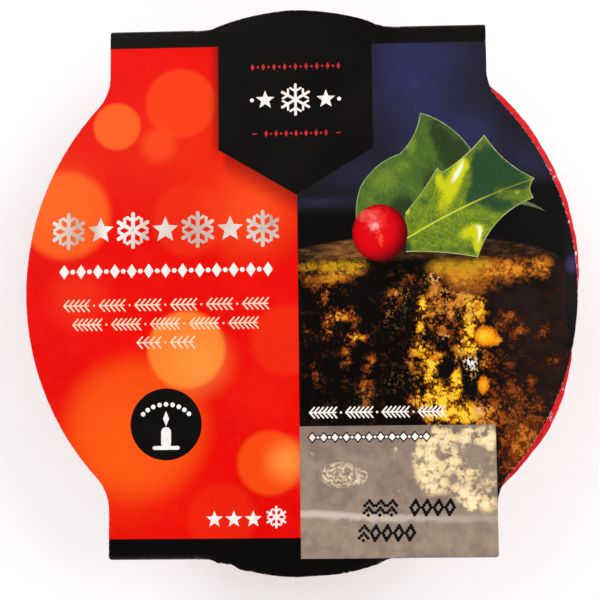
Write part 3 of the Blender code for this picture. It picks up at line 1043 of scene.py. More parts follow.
def crust_colour(tree, x, streaks):
    """The pudding's top: streaky brown crust, lit at the left end and darker towards the right."""
    crust = tones(tree, streaks, [
        (0.36, ink(26, 16, 10)), (0.5, ink(58, 34, 17)), (0.6, ink(96, 64, 30)),
        (0.72, ink(150, 112, 64)),
    ])
    lit_end = calc(tree, "MULTIPLY", fade(tree, x, 1.0, 7.0),
                   fade(tree, streaks, 0.4, 0.6, 0.2, 0.7))
    crust = layer(tree, crust, calc(tree, "MULTIPLY", lit_end, fade(tree, x, 14.0, 10.0)),
                  ink(150, 92, 44))
    return layer(tree, crust, fade(tree, x, 12.0, 32.0, 0.1, 0.5), ink(20, 12, 9))


def pudding_field(tree, x, y, glints):
    """The pictured pudding: crust above, golden rim, and cut crumb with moist glints on it.

    Returns its colour and the pattern of its fruit.
    """
    packed, fruit, grain = packed_crumb(tree)
    streaks = mottle(tree, place(tree, stretch=(0.3, 1.0, 1.0), turn=4.0), 1.5, detail=5.0,
                     roughness=0.7)
    rim, rim_colour = rim_light(tree, x, y, packed, streaks)
    colour = crumb_colour(tree, x, packed, grain)
    colour = layer(tree, colour, fade(tree, rim, 0.1, 0.32), rim_colour)
    glow = held(tree, "glint")
    glint_colour = tones(tree, calc(tree, "MULTIPLY", glow, 0.6), [
        (0.15, ink(72, 54, 30)), (0.35, ink(150, 100, 44)), (0.65, ink(232, 168, 84)),
        (1.0, ink(246, 240, 236)),
    ])
    colour = layer(tree, colour, calc(tree, "MULTIPLY", glints, fade(tree, glow, 0.05, 0.3)),
                   glint_colour)
    on_crust = calc(tree, "MULTIPLY", fade(tree, y, 4.2, 5.4), fade(tree, rim, 0.5, 0.25))
    return layer(tree, colour, on_crust, crust_colour(tree, x, streaks)), fruit


def rosette_petals(tree, x, y):
    """The petals of a sugar rosette: a mask and its colour.

    Their gaps follow a spiral, where 3.2 * distance + turn / 360 degrees + noise is a whole number,
    with the distance in parts of the rosette's half width and half height.
    """
    middle_x, middle_y, half_width, half_height = ROSETTE
    across = calc(tree, "DIVIDE", calc(tree, "SUBTRACT", x, middle_x), half_width)
    up = calc(tree, "DIVIDE", calc(tree, "SUBTRACT", y, middle_y), half_height)
    away = calc(tree, "SQRT", calc(tree, "ADD", calc(tree, "POWER", across, 2.0),
                                   calc(tree, "POWER", up, 2.0)))
    turn = calc(tree, "DIVIDE", calc(tree, "ARCTAN2", up, across), 2 * math.pi)
    spiral = calc(tree, "ADD", calc(tree, "MULTIPLY", away, 3.2), turn)
    ruffle = mottle(tree, place(tree), 0.55, detail=2.0)
    spiral = calc(tree, "ADD", spiral, calc(tree, "MULTIPLY", ruffle, 5.0))
    petals = fade(tree, calc(tree, "PINGPONG", spiral, 0.5), 0.04, 0.3)
    petals = calc(tree, "MULTIPLY", petals, fade(tree, held(tree, "rosette"), 0.3, 0.5, 0.0, 0.9))
    sheen = mottle(tree, place(tree), 1.1, detail=3.0, roughness=0.6)
    return petals, tones(tree, sheen, [
        (0.36, ink(166, 142, 120)), (0.5, ink(208, 184, 156)), (0.62, ink(238, 220, 190)),
    ])


def panel_tint(tree, x, y, fruit, glints):
    """The date panel: warm grey with a pale crease, cream where fruit and rosette show through."""
    grey = mottle(tree, place(tree), 0.35, detail=4.0, roughness=0.6)
    tint = layer(tree, ink(130, 111, 100), fade(tree, grey, 0.3, 0.7), ink(156, 136, 120))
    tint = layer(tree, tint, fade(tree, y, -29.0, -24.0, 0.0, 0.5), ink(118, 101, 92))
    crumb = mottle(tree, place(tree), 0.8, detail=5.0, roughness=0.65)
    lumps = calc(tree, "ADD", calc(tree, "MULTIPLY", fruit, 0.45),
                 fade(tree, crumb, 0.3, 0.7, 0.2, 0.85))
    ghost = calc(tree, "MULTIPLY", held(tree, "ghost"), fade(tree, lumps, 0.3, 1.1, 0.3, 1.2))
    tint = layer(tree, tint, fade(tree, ghost, 0.18, 0.55), tones(tree, ghost, [
        (0.2, ink(156, 136, 114)), (0.4, ink(206, 180, 138)), (0.65, ink(240, 210, 156)),
        (1.0, ink(250, 228, 184)),
    ]))
    tint = layer(tree, tint, calc(tree, "MULTIPLY", glints, fade(tree, ghost, 0.05, 0.4, 0.0, 0.6)),
                 ink(240, 230, 218))
    tint = layer(tree, tint, *rosette_petals(tree, x, y))
    crease_y = calc(tree, "ADD", y, fade(tree, x, 0.0, 16.0, 38.3, 39.3))
    crease_y = calc(tree, "ADD", crease_y, fade(tree, grey, 0.3, 0.7, -0.25, 0.25))
    lower_tint = layer(tree, ink(136, 117, 103), fade(tree, grey, 0.3, 0.7), ink(162, 142, 124))
    tint = layer(tree, tint, fade(tree, crease_y, 0.6, -0.4), lower_tint)
    line = fade(tree, calc(tree, "ABSOLUTE", crease_y), 1.0, 0.1, 0.0, 0.85)
    return layer(tree, tint, calc(tree, "MULTIPLY", line, fade(tree, x, 34.0, 8.0, 0.3, 1.0)),
                 ink(208, 193, 180))


def above(tree, value, edge):
    """0 below an edge between two printed fields and 1 above it, as sharp as the printing."""
    return fade(tree, value, edge - PRINT_EDGE, edge + PRINT_EDGE)


def below(tree, value, edge):
    """1 below an edge between two printed fields and 0 above it, as sharp as the printing."""
    return fade(tree, value, edge + PRINT_EDGE, edge - PRINT_EDGE)


def inside_box(tree, x, y, left, right, bottom, top):
    """1 inside a box that stands square on the panel."""
    across = calc(tree, "MULTIPLY", above(tree, x, left), below(tree, x, right))
    up = calc(tree, "MULTIPLY", above(tree, y, bottom), below(tree, y, top))
    return calc(tree, "MULTIPLY", across, up)


def badge_height(tree, x, y):
    """y - slope * distance in x from the badge's point: the badge lies above the point's value."""
    left, right, _, slope = BADGE
    from_point = calc(tree, "ABSOLUTE", calc(tree, "SUBTRACT", x, (left + right) / 2))
    return calc(tree, "SUBTRACT", y, calc(tree, "MULTIPLY", from_point, slope))


def red_half(tree, x, y):
    """The red field, with the badge's soft shadow beside it and under its point."""
    left, _, point_y, _ = BADGE
    beside = calc(tree, "MULTIPLY", fade(tree, x, left - BADGE_SHADOW_SIDE, left),
                  fade(tree, y, *BADGE_SHADOW_START))
    under = fade(tree, badge_height(tree, x, y), point_y - BADGE_SHADOW_FOOT, point_y)
    under = calc(tree, "MULTIPLY", under, fade(tree, x, left, left + BADGE_SHADOW_INSET))
    shadow = calc(tree, "MULTIPLY", calc(tree, "MAXIMUM", beside, under), BADGE_SHADOW_STRENGTH)
    return layer(tree, red_field(tree), shadow, ink(112, 8, 4))


def black_print(tree, x, y, z, right_half):
    """1 in the black print: both bands, the badge, beyond the date panel, and down the folds."""
    left, right, point_y, _ = BADGE
    lower_band = calc(tree, "MULTIPLY", below(tree, y, LOWER_BAND_Y),
                      calc(tree, "SUBTRACT", 1.0, right_half))
    badge = calc(tree, "MULTIPLY", above(tree, x, left), below(tree, x, right))
    badge = calc(tree, "MULTIPLY", badge, above(tree, badge_height(tree, x, y), point_y))
    black = above(tree, y, UPPER_BAND_Y)
    folded = fade(tree, z, *(TOP_Z - drop for drop in FOLD_INK))
    for part in (lower_band, badge, below(tree, y, DATE_PANEL[2]), folded):
        black = calc(tree, "MAXIMUM", black, part)
    return black


def printed_card():
    """All that is printed on the blank's outer face: two picture fields, the black bands and badge,
    the tinted date panel, scuffs on the creases with a painted highlight in them, and the pale line
    of the cut edge; and painted shade: the black darker towards the bottom, the bent sliver darker."""
    material, tree, shader = new_material("printed_card")
    where = tree.nodes.new("ShaderNodeSeparateXYZ")
    tree.links.new(place(tree), where.inputs["Vector"])
    x, y, z = where.outputs
    right_half = above(tree, x, DIVIDER_X)
    glints = wet_glints(tree)
    pudding, fruit = pudding_field(tree, x, y, glints)
    picture = layer(tree, night_field(tree, x, y), fade(tree, held(tree, "below_crust"), 0.0, 0.5),
                    pudding)
    colour = layer(tree, red_half(tree, x, y), right_half, picture)
    colour = layer(tree, colour, inside_box(tree, x, y, *DATE_PANEL),
                   panel_tint(tree, x, y, fruit, glints))

    drift = mottle(tree, place(tree), 0.08, detail=3.0)
    band_colour = layer(tree, ink(8, 6, 5), drift, ink(17, 13, 10))
    # Painted shade: the black is darker towards the bottom, where less light shows in the varnish.
    band_colour = layer(tree, band_colour, fade(tree, y, 10.0, -20.0, 0.0, 0.8), ink(2, 1, 1))
    colour = layer(tree, colour, black_print(tree, x, y, z, right_half), band_colour)
    colour = layer(tree, colour, below(tree, z, SIDE_BAND_Z), red_ground(tree))

    # Painted shade: the bent-down sliver of the right wing darkens to near black, with some navy.
    bend_shade_colour = tones(tree, held(tree, "sky"), [(0.2, ink(4, 3, 5)), (0.9, ink(58, 48, 92))])
    colour = layer(tree, colour, fade(tree, held(tree, "bent"), 0.0, 0.12, 0.0, 0.8), bend_shade_colour)
    wear_and_sheen = mottle(tree, place(tree), 1.6, detail=4.0, roughness=0.65)
    # Grey on the creases: scuffed varnish, and a painted highlight on the folds' rounded edges.
    scuffed_and_lit = calc(tree, "MULTIPLY", held(tree, "fold"), fade(tree, wear_and_sheen, 0.45, 0.72, 0.05, 0.3))
    colour = layer(tree, colour, scuffed_and_lit, ink(122, 114, 108))
    cut_line = calc(tree, "SUBTRACT", held(tree, "edge"), fade(tree, wear_and_sheen, 0.45, 0.7, -0.03, 0.18))
    colour = layer(tree, colour, fade(tree, cut_line, 0.05, -0.02, 0.0, 0.75), ink(182, 152, 146))
    feed(tree, shader.inputs["Base Color"], colour)
    varnish(tree, shader, 0.24, 0.34)
    return material


def grey_board():
    """The blank's bare inner face: recycled grey board, with flecks and soft fibres."""
    material, tree, shader = new_material("grey_board")
    fibres = mottle(tree, place(tree, stretch=(1.0, 0.3, 1.0)), 2.0, detail=5.0, roughness=0.65)
    flecks = fade(tree, mottle(tree, place(tree), 1.3, detail=3.0), 0.66, 0.74, 0.0, 0.6)
    colour = layer(tree, ink(176, 168, 156), fade(tree, fibres, 0.3, 0.7), ink(204, 197, 186))
    feed(tree, shader.inputs["Base Color"], layer(tree, colour, flecks, ink(120, 108, 96)))
    feed(tree, shader.inputs["Roughness"], fade(tree, fibres, 0.2, 0.8, 0.8, 0.95))
    tilt(tree, shader, fibres, 0.04)
    return material


def cut_edge():
    """The die-cut edge of the board: pale pulp between the print and the grey back."""
    material, tree, shader = new_material("cut_edge")
    fibres = mottle(tree, place(tree), 4.0, detail=4.0, roughness=0.7)
    colour = layer(tree, ink(178, 166, 152), fade(tree, fibres, 0.3, 0.7), ink(226, 218, 206))
    feed(tree, shader.inputs["Base Color"], colour)
    feed(tree, shader.inputs["Roughness"], fade(tree, fibres, 0.2, 0.8, 0.8, 0.95))
    tilt(tree, shader, fibres, 0.05)
    return material


# Islands of the flat map: scale across and along, in map widths to a millimetre, and lower left
TOP_ISLAND = (0.0071, 0.0071, 0.005, 0.005)
LOWER_SIDE_ISLAND = (0.0043, 0.0041, 0.70, 0.005)
UPPER_SIDE_ISLAND = (0.0043, 0.0041, 0.70, 0.19)
OUTER_FLAP_ISLAND = (0.004, 0.004, 0.70, 0.38)
INNER_FLAP_ISLAND = (0.004, 0.004, 0.70, 0.57)
INNER_FACE_ISLAND = (0.0038, 0.0024, 0.005, 0.765)
RIM_CORNER = (0.005, 0.722)
RIM_CELLS = 170                   # cells for the rim's quads side by side in the map's width
TOP_TO_BASE_FOLD = 43.0           # along the card from the level top to the middle of a base fold


def blank_map(mesh, across, developed, part, top_span):
    """The map OFBake: the blank laid out flat, with most of the room for the printed top panel.

    across and developed are each point's place on the flat blank in millimetres. The outer face is
    cut at the folds into the top, two sides and two flaps, the inner face is one strip, and each
    quad of the rim has a small cell of its own.
    """
    corners = np.empty(len(mesh.loops), int)
    mesh.loops.foreach_get("vertex_index", corners)
    corners = corners.reshape(-1, 4)
    u, v = across[corners], developed[corners]
    middle = v.mean(axis=1)
    outer = part == 0
    fold_start = 2.0 * FOLD_RADIUS
    base_folds = top_span[0] - TOP_TO_BASE_FOLD, top_span[1] + TOP_TO_BASE_FOLD
    reach = TONGUE_TIP_Y - FOLD_Y + FOLD_RADIUS
    from_top = middle - top_span[0], middle - top_span[1]
    regions = [
        (part == 1, v, u + WING_RADIUS, INNER_FACE_ISLAND),
        (outer & (from_top[0] > -reach) & (from_top[1] < reach),
         u + WING_RADIUS, v - top_span[0] + reach, TOP_ISLAND),
        (outer & (from_top[0] <= -fold_start) & (middle > base_folds[0]),
         u + PANEL_HALF_WIDTH, v - base_folds[0], LOWER_SIDE_ISLAND),
        (outer & (from_top[1] >= fold_start) & (middle < base_folds[1]),
         u + PANEL_HALF_WIDTH, v - top_span[1], UPPER_SIDE_ISLAND),
        (outer & (middle <= base_folds[0]), u + BASE_HALF_WIDTH, v, OUTER_FLAP_ISLAND),
        (outer & (middle >= base_folds[1]),
         u + BASE_HALF_WIDTH, v - base_folds[1], INNER_FLAP_ISLAND),
    ]
    flat = np.zeros((*corners.shape, 2))
    for chosen, right, up, (right_scale, up_scale, left, bottom) in regions:
        spread = np.stack([left + right * right_scale, bottom + up * up_scale], axis=-1)
        flat[chosen] = spread[chosen]
    rim = np.flatnonzero(part == 2)
    size = 0.99 / RIM_CELLS
    corner_u, corner_v = np.array([0.1, 0.9, 0.9, 0.1]), np.array([0.1, 0.1, 0.9, 0.9])
    row, column = np.divmod(np.arange(len(rim)), RIM_CELLS)
    flat[rim, :, 0] = RIM_CORNER[0] + column[:, None] * size + corner_u * size
    flat[rim, :, 1] = RIM_CORNER[1] + row[:, None] * size + corner_v * size
    mesh.uv_layers.new(name="OFBake").data.foreach_set("uv", flat.ravel())


sheet_points, sheet_quads, sheet_normals, developed, edge, top_span = sleeve_sheet()
card_points, card_quads, card_part = thick_sheet(sheet_points, sheet_quads, sheet_normals, CARD)
from_fold = np.minimum(np.abs(developed - top_span[0] + FOLD_RADIUS),
                       np.abs(developed - top_span[1] - FOLD_RADIUS))
beside_slot = np.abs(sheet_points[:, 0]) > SLOT_HALF_WIDTH - 0.1
creased = np.exp(-(from_fold / CREASE_WIDTH) ** 2) * beside_slot
sleeve_fields = [("edge", edge), ("fold", creased)]
sleeve_fields += print_fields(sheet_points[:, 0], sheet_points[:, 1])
sleeve = mesh_piece(
    "folded_sleeve",
    card_points,
    card_quads,
    [printed_card(), grey_board(), cut_edge()],
    fields=[(title, np.tile(values, 2)) for title, values in sleeve_fields],
)
sleeve.data.polygons.foreach_set("material_index", card_part)
blank_map(sleeve.data, card_points[:, 0], np.tile(developed, 2), card_part, top_span)
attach(sleeve, "root")
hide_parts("sleeve")


# ------------------------------------------------------------------------------------------------
# Holly. Two leaves, the tip of a third and a berry, printed in denser ink than the picture behind
# them. The ink stands a few hundredths of a millimetre proud, and each leaf lies over the last.
# ------------------------------------------------------------------------------------------------
INK_SINK = 0.01                   # how far ink reaches into the board under it
BACK_LEAF_RISE = 0.03
FRONT_LEAF_RISE = 0.05
BERRY_RISE = 0.07
LEAF_GRID = (150, 30)             # rows, and columns on each side of the midrib
THORN_GRID = (40, 4)
VEINS = 9.0                       # pairs of side veins along a leaf
VEIN_SLANT = 2.6                  # how many pairs further on a vein meets the edge
# An edge runs from the stalk to the tip over its spines: x, y, and how far it sags to the next one
FRONT_UPPER = [(18.3, 12.7, 0.25), (24.0, 20.6, 0.2), (25.0, 19.8, 0.4), (32.2, 26.2, 0.9),
               (40.7, 18.4, 0.0)]
FRONT_LOWER = [(18.3, 5.9, -0.35), (30.6, 4.8, -1.7), (40.4, 15.0, -0.7), (40.7, 18.4, 0.0)]
FRONT_MIDRIB = [(18.4, 8.2), (29.5, 14.9), (40.5, 18.3)]
BACK_LEFT = [(11.5, 6.5, -1.2), (10.6, 17.3, -0.9), (17.6, 23.1, 0.7), (21.2, 30.3, 0.0)]
BACK_RIGHT = [(29.5, 12.0, 0.6), (29.7, 23.9, 0.9), (21.2, 30.3, 0.0)]
BACK_MIDRIB = [(22.0, 8.0), (25.6, 19.5), (21.2, 30.3)]
# Where a leaf is lit, glints and is in shade: x, y, half width, half height, strength
FRONT_LIGHT = [
    (24.2, 18.4, 0.8, 1.6, 0.80), (28.3, 21.0, 1.2, 1.3, 1.10), (27.2, 19.0, 1.3, 1.5, 1.00),
    (26.2, 16.8, 1.5, 1.6, 0.90), (25.2, 14.6, 1.7, 1.5, 0.60), (24.4, 12.6, 1.6, 1.2, 0.35),
    (30.4, 9.6, 1.9, 1.3, 0.85), (30.6, 7.0, 0.8, 1.8, 1.00), (28.4, 8.6, 1.6, 1.2, 0.50),
    (37.6, 16.0, 1.0, 0.9, 0.45), (29.0, 12.6, 2.4, 0.6, 0.35), (22.4, 10.0, 3.0, 1.3, 0.33),
    (18.7, 13.0, 0.5, 0.8, 0.80), (19.7, 14.7, 0.4, 0.8, 0.55), (21.4, 17.0, 0.5, 0.9, 0.45),
]
FRONT_GLINT = [
    (28.5, 21.8, 0.4, 0.7, 0.40), (28.2, 21.0, 0.5, 0.8, 0.55), (27.8, 20.2, 0.6, 0.8, 0.60),
    (27.3, 19.4, 0.7, 0.8, 0.60), (26.9, 18.6, 0.7, 0.8, 0.50), (26.4, 17.8, 0.7, 0.8, 0.40),
    (25.9, 17.0, 0.5, 0.7, 0.20), (30.6, 10.2, 1.1, 0.6, 0.50), (31.1, 9.5, 0.7, 0.7, 0.55),
    (31.0, 8.7, 0.5, 0.7, 0.55), (30.8, 7.9, 0.4, 0.7, 0.50), (30.7, 7.1, 0.3, 0.7, 0.35),
]
FRONT_SHADE = [
    (33.4, 21.6, 3.0, 3.4, 1.4), (31.8, 18.2, 2.2, 3.4, 1.4), (36.8, 19.0, 3.0, 2.0, 1.2),
    (29.6, 15.2, 1.2, 1.4, 0.8), (34.8, 14.0, 3.8, 1.5, 1.0), (30.2, 5.9, 1.2, 0.6, 0.6),
    (21.4, 14.6, 1.4, 1.4, 0.5), (26.0, 6.3, 3.4, 0.7, 0.6), (23.0, 11.0, 1.6, 0.8, 0.4),
    (38.0, 17.0, 2.6, 1.5, 0.6), (18.4, 7.0, 0.9, 1.8, 0.8), (20.2, 6.6, 1.6, 0.9, 0.5),
]
BACK_LIGHT = [
    (14.8, 18.4, 3.0, 2.6, 0.7), (19.6, 24.6, 1.0, 1.8, 0.9), (12.2, 14.6, 1.2, 2.0, 0.4),
    (18.2, 21.0, 2.0, 1.4, 0.5),
]
BACK_GLINT = [(21.4, 22.4, 0.3, 2.4, 0.12)]
BACK_SHADE = [
    (27.0, 23.0, 3.2, 4.2, 1.3), (24.0, 27.0, 1.8, 2.6, 0.9), (17.0, 13.2, 2.8, 1.4, 1.0),
    (22.4, 17.4, 1.4, 3.6, 0.9), (13.0, 10.6, 2.0, 1.0, 0.6), (18.0, 14.6, 1.8, 2.2, 0.8),
]
THORN_UPPER = [(38.0, 14.7, -0.3), (42.4, 12.6, 0.0)]
THORN_LOWER = [(38.0, 13.9, -0.15), (42.4, 12.6, 0.0)]
THORN_MIDRIB = [(38.0, 14.4), (40.4, 13.9), (42.4, 12.6)]
THORN_LIGHT = [(38.9, 14.2, 1.2, 0.4, 0.6)]
THORN_SHADE = [(40.0, 13.2, 1.2, 0.3, 0.6)]
BERRY_CENTRE = (13.9, 9.3)
BERRY_RADII = (4.75, 4.95)
BERRY_GRID = (13, 72)             # rings, and points round each
BERRY_LIT_SIDE = (12.2, 10.2)
# Light on the berry: x, y, radius, colour, strength
BERRY_GLINTS = [
    (10.9, 12.4, 1.7, (240, 104, 88), 0.75),
    (13.2, 11.6, 2.9, (244, 66, 62), 0.75),
    (13.0, 12.0, 1.0, (248, 130, 124), 0.60),
    (13.0, 10.6, 1.7, (248, 130, 128), 0.85),
    (13.0, 10.5, 1.0, (253, 188, 186), 0.70),
    (13.6, 9.3, 0.9, (248, 92, 70), 0.85),
    (13.9, 8.4, 0.8, (246, 84, 60), 0.80),
    (14.1, 7.6, 0.6, (244, 74, 48), 0.60),
]


def hollow_edge(spines, count):
    """Points along a leaf's edge, evenly by length.

    From each spine to the next the edge leaves the chord by sag * 4 t (1 - t) to its right, with t
    going from 0 to 1.
    """
    spines = np.asarray(spines, float)
    t = np.linspace(0.0, 1.0, 40)[:-1, None]
    runs = []
    for (x, y, sag), (next_x, next_y, _) in zip(spines[:-1], spines[1:]):
        chord = np.array([next_x - x, next_y - y])
        right = np.array([chord[1], -chord[0]]) / np.hypot(*chord)
        runs.append((x, y) + t * chord + 4 * t * (1 - t) * sag * right)
    line = np.vstack([*runs, spines[-1:, :2]])
    travelled = np.concatenate([[0.0], np.cumsum(np.hypot(*np.diff(line, axis=0).T))])
    stations = np.linspace(0.0, travelled[-1], count)
    return np.stack([np.interp(stations, travelled, axis) for axis in line.T], axis=-1)


def bowed_line(points, count):
    """A quadratic curve from the first point to the last, drawn towards the middle one."""
    t = np.linspace(0.0, 1.0, count)[:, None]
    start, middle, end = np.asarray(points, float)
    return (1 - t) ** 2 * start + 2 * t * (1 - t) * middle + t ** 2 * end


def distance_to(line, x, y):
    """Shortest distance from each point (x, y) to the points of a finely drawn line."""
    gaps = np.hypot(x.ravel()[:, None] - line[:, 0], y.ravel()[:, None] - line[:, 1])
    return gaps.min(axis=1)


def ink_plate(x, y, faces, rise, ground=panel_height):
    """A closed plate of ink over the ground's own height, rise proud of it and a little sunk."""
    top = np.stack([x.ravel(), y.ravel(), ground(x, y).ravel() + rise], axis=-1)
    return thick_sheet(top, faces, np.array([0.0, 0.0, 1.0]), rise + INK_SINK)[:2]


def leaf_piece(name, grid, left_edge, right_edge, midrib, rise, light, glint, shade, material):
    """A printed leaf: rows from stalk to tip, columns from its right edge over the midrib.

    A point is midrib + |t| * (edge - midrib), with t from -1 at the right edge to 1 at the left.
    """
    rows, side_columns = grid
    rib = bowed_line(midrib, rows)[:, None]
    left, right = (hollow_edge(line, rows)[:, None] for line in (left_edge, right_edge))
    t = np.linspace(-1.0, 1.0, 2 * side_columns + 1)[:, None]
    spread = rib + np.abs(t) * (np.where(t > 0, left, right) - rib)
    x, y = spread[..., 0], spread[..., 1]
    outline = np.vstack([left[:, 0], right[:, 0]])
    along = np.broadcast_to(np.linspace(0.0, 1.0, rows)[:, None], x.shape)
    across = np.broadcast_to(t[:, 0], x.shape)
    points, faces = ink_plate(x, y, grid_faces(numbered(*x.shape), flip=True), rise)
    numbers = [
        ("to_edge", distance_to(outline, x, y)),
        ("to_rib", distance_to(rib[:, 0], x, y)),
        ("along", along.ravel()),
        ("across", across.ravel()),
        ("light", soft_spots(x, y, light).ravel()),
        ("glint", soft_spots(x, y, glint).ravel()),
        ("shade", soft_spots(x, y, shade).ravel()),
    ]
    fields = [(title, np.tile(values, 2)) for title, values in numbers]
    return mesh_piece(name, points, faces, [material], weld=True, fields=fields)


def leaf_ink(name, plain, lit, dark, rib_colour, edge):
    """Glossy leaf: pools of light, dark flanks, fine side veins, a pale rib and a thin pale edge.

    Side veins run where VEINS * along - VEIN_SLANT * |across| + noise is a whole number.
    """
    material, tree, shader = new_material(name)
    cloud = mottle(tree, place(tree), 0.5, detail=4.0, roughness=0.6)
    colour = layer(tree, ink(*plain[0]), fade(tree, cloud, 0.3, 0.7), ink(*plain[1]))
    skin = mottle(tree, place(tree, stretch=(1.0, 0.6, 1.0), turn=-30.0), 3.2, detail=3.0,
                  roughness=0.7)
    veins = calc(tree, "SUBTRACT", calc(tree, "MULTIPLY", held(tree, "along"), VEINS),
                 calc(tree, "MULTIPLY", calc(tree, "ABSOLUTE", held(tree, "across")), VEIN_SLANT))
    veins = calc(tree, "ADD", veins, calc(tree, "MULTIPLY", cloud, 0.8))
    veins = calc(tree, "PINGPONG", veins, 0.5)
    ragged = calc(tree, "ADD", fade(tree, cloud, 0.3, 0.7, 0.6, 1.0),
                  fade(tree, skin, 0.3, 0.7, 0.0, 0.4))
    shade = calc(tree, "MULTIPLY", held(tree, "shade"), ragged)
    light = calc(tree, "MULTIPLY", held(tree, "light"), ragged)
    colour = layer(tree, colour, fade(tree, skin, 0.5, 0.75, 0.0, 0.35), ink(*lit))
    colour = layer(tree, colour, fade(tree, skin, 0.5, 0.25, 0.0, 0.5), ink(*dark))
    colour = layer(tree, colour, fade(tree, veins, 0.06, 0.0, 0.0, 0.3), ink(*lit))
    colour = layer(tree, colour, fade(tree, shade, 0.15, 1.0, 0.0, 0.93), ink(*dark))
    colour = layer(tree, colour, fade(tree, light, 0.2, 0.8, 0.0, 0.95), ink(*lit))
    colour = layer(tree, colour, fade(tree, held(tree, "glint"), 0.35, 0.9, 0.0, 0.95),
                   ink(244, 246, 214))
    rib = fade(tree, held(tree, "to_rib"), 0.22, 0.05)
    rib = calc(tree, "MULTIPLY", rib, fade(tree, held(tree, "along"), 0.75, 0.4, 0.22, 1.0))
    colour = layer(tree, colour, rib, ink(*rib_colour))
    rim = calc(tree, "MULTIPLY", fade(tree, held(tree, "to_edge"), 0.24, 0.06),
               fade(tree, cloud, 0.35, 0.65, 0.4, 0.95))
    colour = layer(tree, colour, rim, ink(*edge))
    feed(tree, shader.inputs["Base Color"], colour)
    varnish(tree, shader, 0.2, 0.28)
    return material


def berry_piece():
    """The berry as a disc in polar rows: centre + share * radius * (cos a, sin a)."""
    share = np.linspace(0.0, 1.0, BERRY_GRID[0])[:, None]
    angles = np.linspace(0.0, 2 * math.pi, BERRY_GRID[1], endpoint=False)
    x = BERRY_CENTRE[0] + share * BERRY_RADII[0] * np.cos(angles)
    y = BERRY_CENTRE[1] + share * BERRY_RADII[1] * np.sin(angles)
    faces = grid_faces(numbered(*x.shape), around=True, flip=True)
    points, faces = ink_plate(x, y, faces, BERRY_RISE)
    from_middle = np.tile(np.broadcast_to(share, x.shape).ravel(), 2)
    return mesh_piece("holly_berry", points, faces, [berry_ink()], weld=True,
                      fields=[("from_middle", from_middle)])


def berry_ink():
    """Shiny red berry: deeper away from the light, with uneven pink glints and a streak below."""
    material, tree, shader = new_material("berry_ink")
    cloud = mottle(tree, place(tree), 0.9, detail=3.0, roughness=0.6)
    colour = tones(tree, held(tree, "from_middle"), [
        (0.0, ink(222, 6, 14)), (0.7, ink(216, 2, 14)), (0.9, ink(196, 2, 14)),
        (1.0, ink(150, 0, 14)),
    ])
    flat = place(tree, stretch=(1.0, 1.0, 0.0))
    from_light = distance_from(tree, flat, *BERRY_LIT_SIDE)
    colour = layer(tree, colour, fade(tree, from_light, 3.5, 6.8, 0.0, 0.95), ink(76, 0, 8))
    ragged = fade(tree, cloud, 0.3, 0.7, -0.5, 0.5)
    for x, y, radius, tint, strength in BERRY_GLINTS:
        near = calc(tree, "ADD", distance_from(tree, flat, x, y), ragged)
        colour = layer(tree, colour, fade(tree, near, radius, 0.0, 0.0, strength), ink(*tint))
    feed(tree, shader.inputs["Base Color"], colour)
    varnish(tree, shader, 0.16, 0.24)
    return material


thorn_ink = leaf_ink(
    "thorn_ink", plain=((78, 88, 54), (60, 70, 44)), lit=(110, 118, 84), dark=(34, 42, 28),
    rib_colour=(96, 106, 70), edge=(104, 112, 82),
)
thorn = leaf_piece(
    "holly_thorn", THORN_GRID, THORN_UPPER, THORN_LOWER, THORN_MIDRIB, BACK_LEAF_RISE,
    THORN_LIGHT, THORN_LIGHT, THORN_SHADE, thorn_ink,
)
back_leaf_ink = leaf_ink(
    "back_leaf_ink", plain=((83, 112, 38), (64, 95, 40)), lit=(112, 136, 46), dark=(38, 54, 30),
    rib_colour=(72, 108, 60), edge=(170, 184, 124),
)
back_leaf = leaf_piece(
    "holly_back_leaf", LEAF_GRID, BACK_LEFT, BACK_RIGHT, BACK_MIDRIB, BACK_LEAF_RISE,
    BACK_LIGHT, BACK_GLINT, BACK_SHADE, back_leaf_ink,
)
front_leaf_ink = leaf_ink(
    "front_leaf_ink", plain=((120, 142, 32), (82, 113, 36)), lit=(204, 204, 18), dark=(30, 64, 42),
    rib_colour=(206, 210, 64), edge=(186, 196, 132),
)
front_leaf = leaf_piece(
    "holly_front_leaf", LEAF_GRID, FRONT_UPPER, FRONT_LOWER, FRONT_MIDRIB, FRONT_LEAF_RISE,
    FRONT_LIGHT, FRONT_GLINT, FRONT_SHADE, front_leaf_ink,
)
berry = berry_piece()
for piece in (thorn, back_leaf, front_leaf, berry):
    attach(piece, "root")


# ------------------------------------------------------------------------------------------------
# Foil. Seven ornaments of silver foil, hot-stamped on the red field by one flat die: snowflakes
# and stars in turn. The foil is smoother than the varnish, and the red round it is put into its
# colour as a painted reflection.
# ------------------------------------------------------------------------------------------------
FOIL_RISE = 0.04
FOIL_ROW = (-40.1, -6.3, 10.4)    # x of the first and last ornament, y of their middles
FOIL_COUNT = 7
FOIL_FLAKE = (3.25, 0.66)         # a snowflake's radius, width of its bars
FOIL_STAR = (2.35, 0.45 * 2.35, 5)          # a star's radius to its tips and hollows, its tips


def star_outline(x, y, outer, inner, tips, turn=90.0):
    """A star's corners, counter-clockwise: tips at the outer radius and hollows at the inner."""
    angles = math.radians(turn) + np.arange(2 * tips) * math.pi / tips
    radius = np.where(np.arange(2 * tips) % 2, inner, outer)
    return np.stack([x + radius * np.cos(angles), y + radius * np.sin(angles)], axis=-1)


def disc_outline(x, y, radius, count=24):
    """Points evenly round a circle."""
    return star_outline(x, y, radius, radius, count // 2)


def bar_outline(x, y, heading, start, end, width):
    """A bar with round ends that runs from start to end along a heading from (x, y)."""
    angle = math.radians(heading)
    ahead = np.array([math.cos(angle), math.sin(angle)])
    turn = angle - math.pi / 2 + np.linspace(0.0, math.pi, 7)
    cap = width / 2 * np.stack([np.cos(turn), np.sin(turn)], axis=-1)
    near, far = (x, y) + start * ahead, (x, y) + end * ahead
    return np.vstack([far + cap, near - cap])


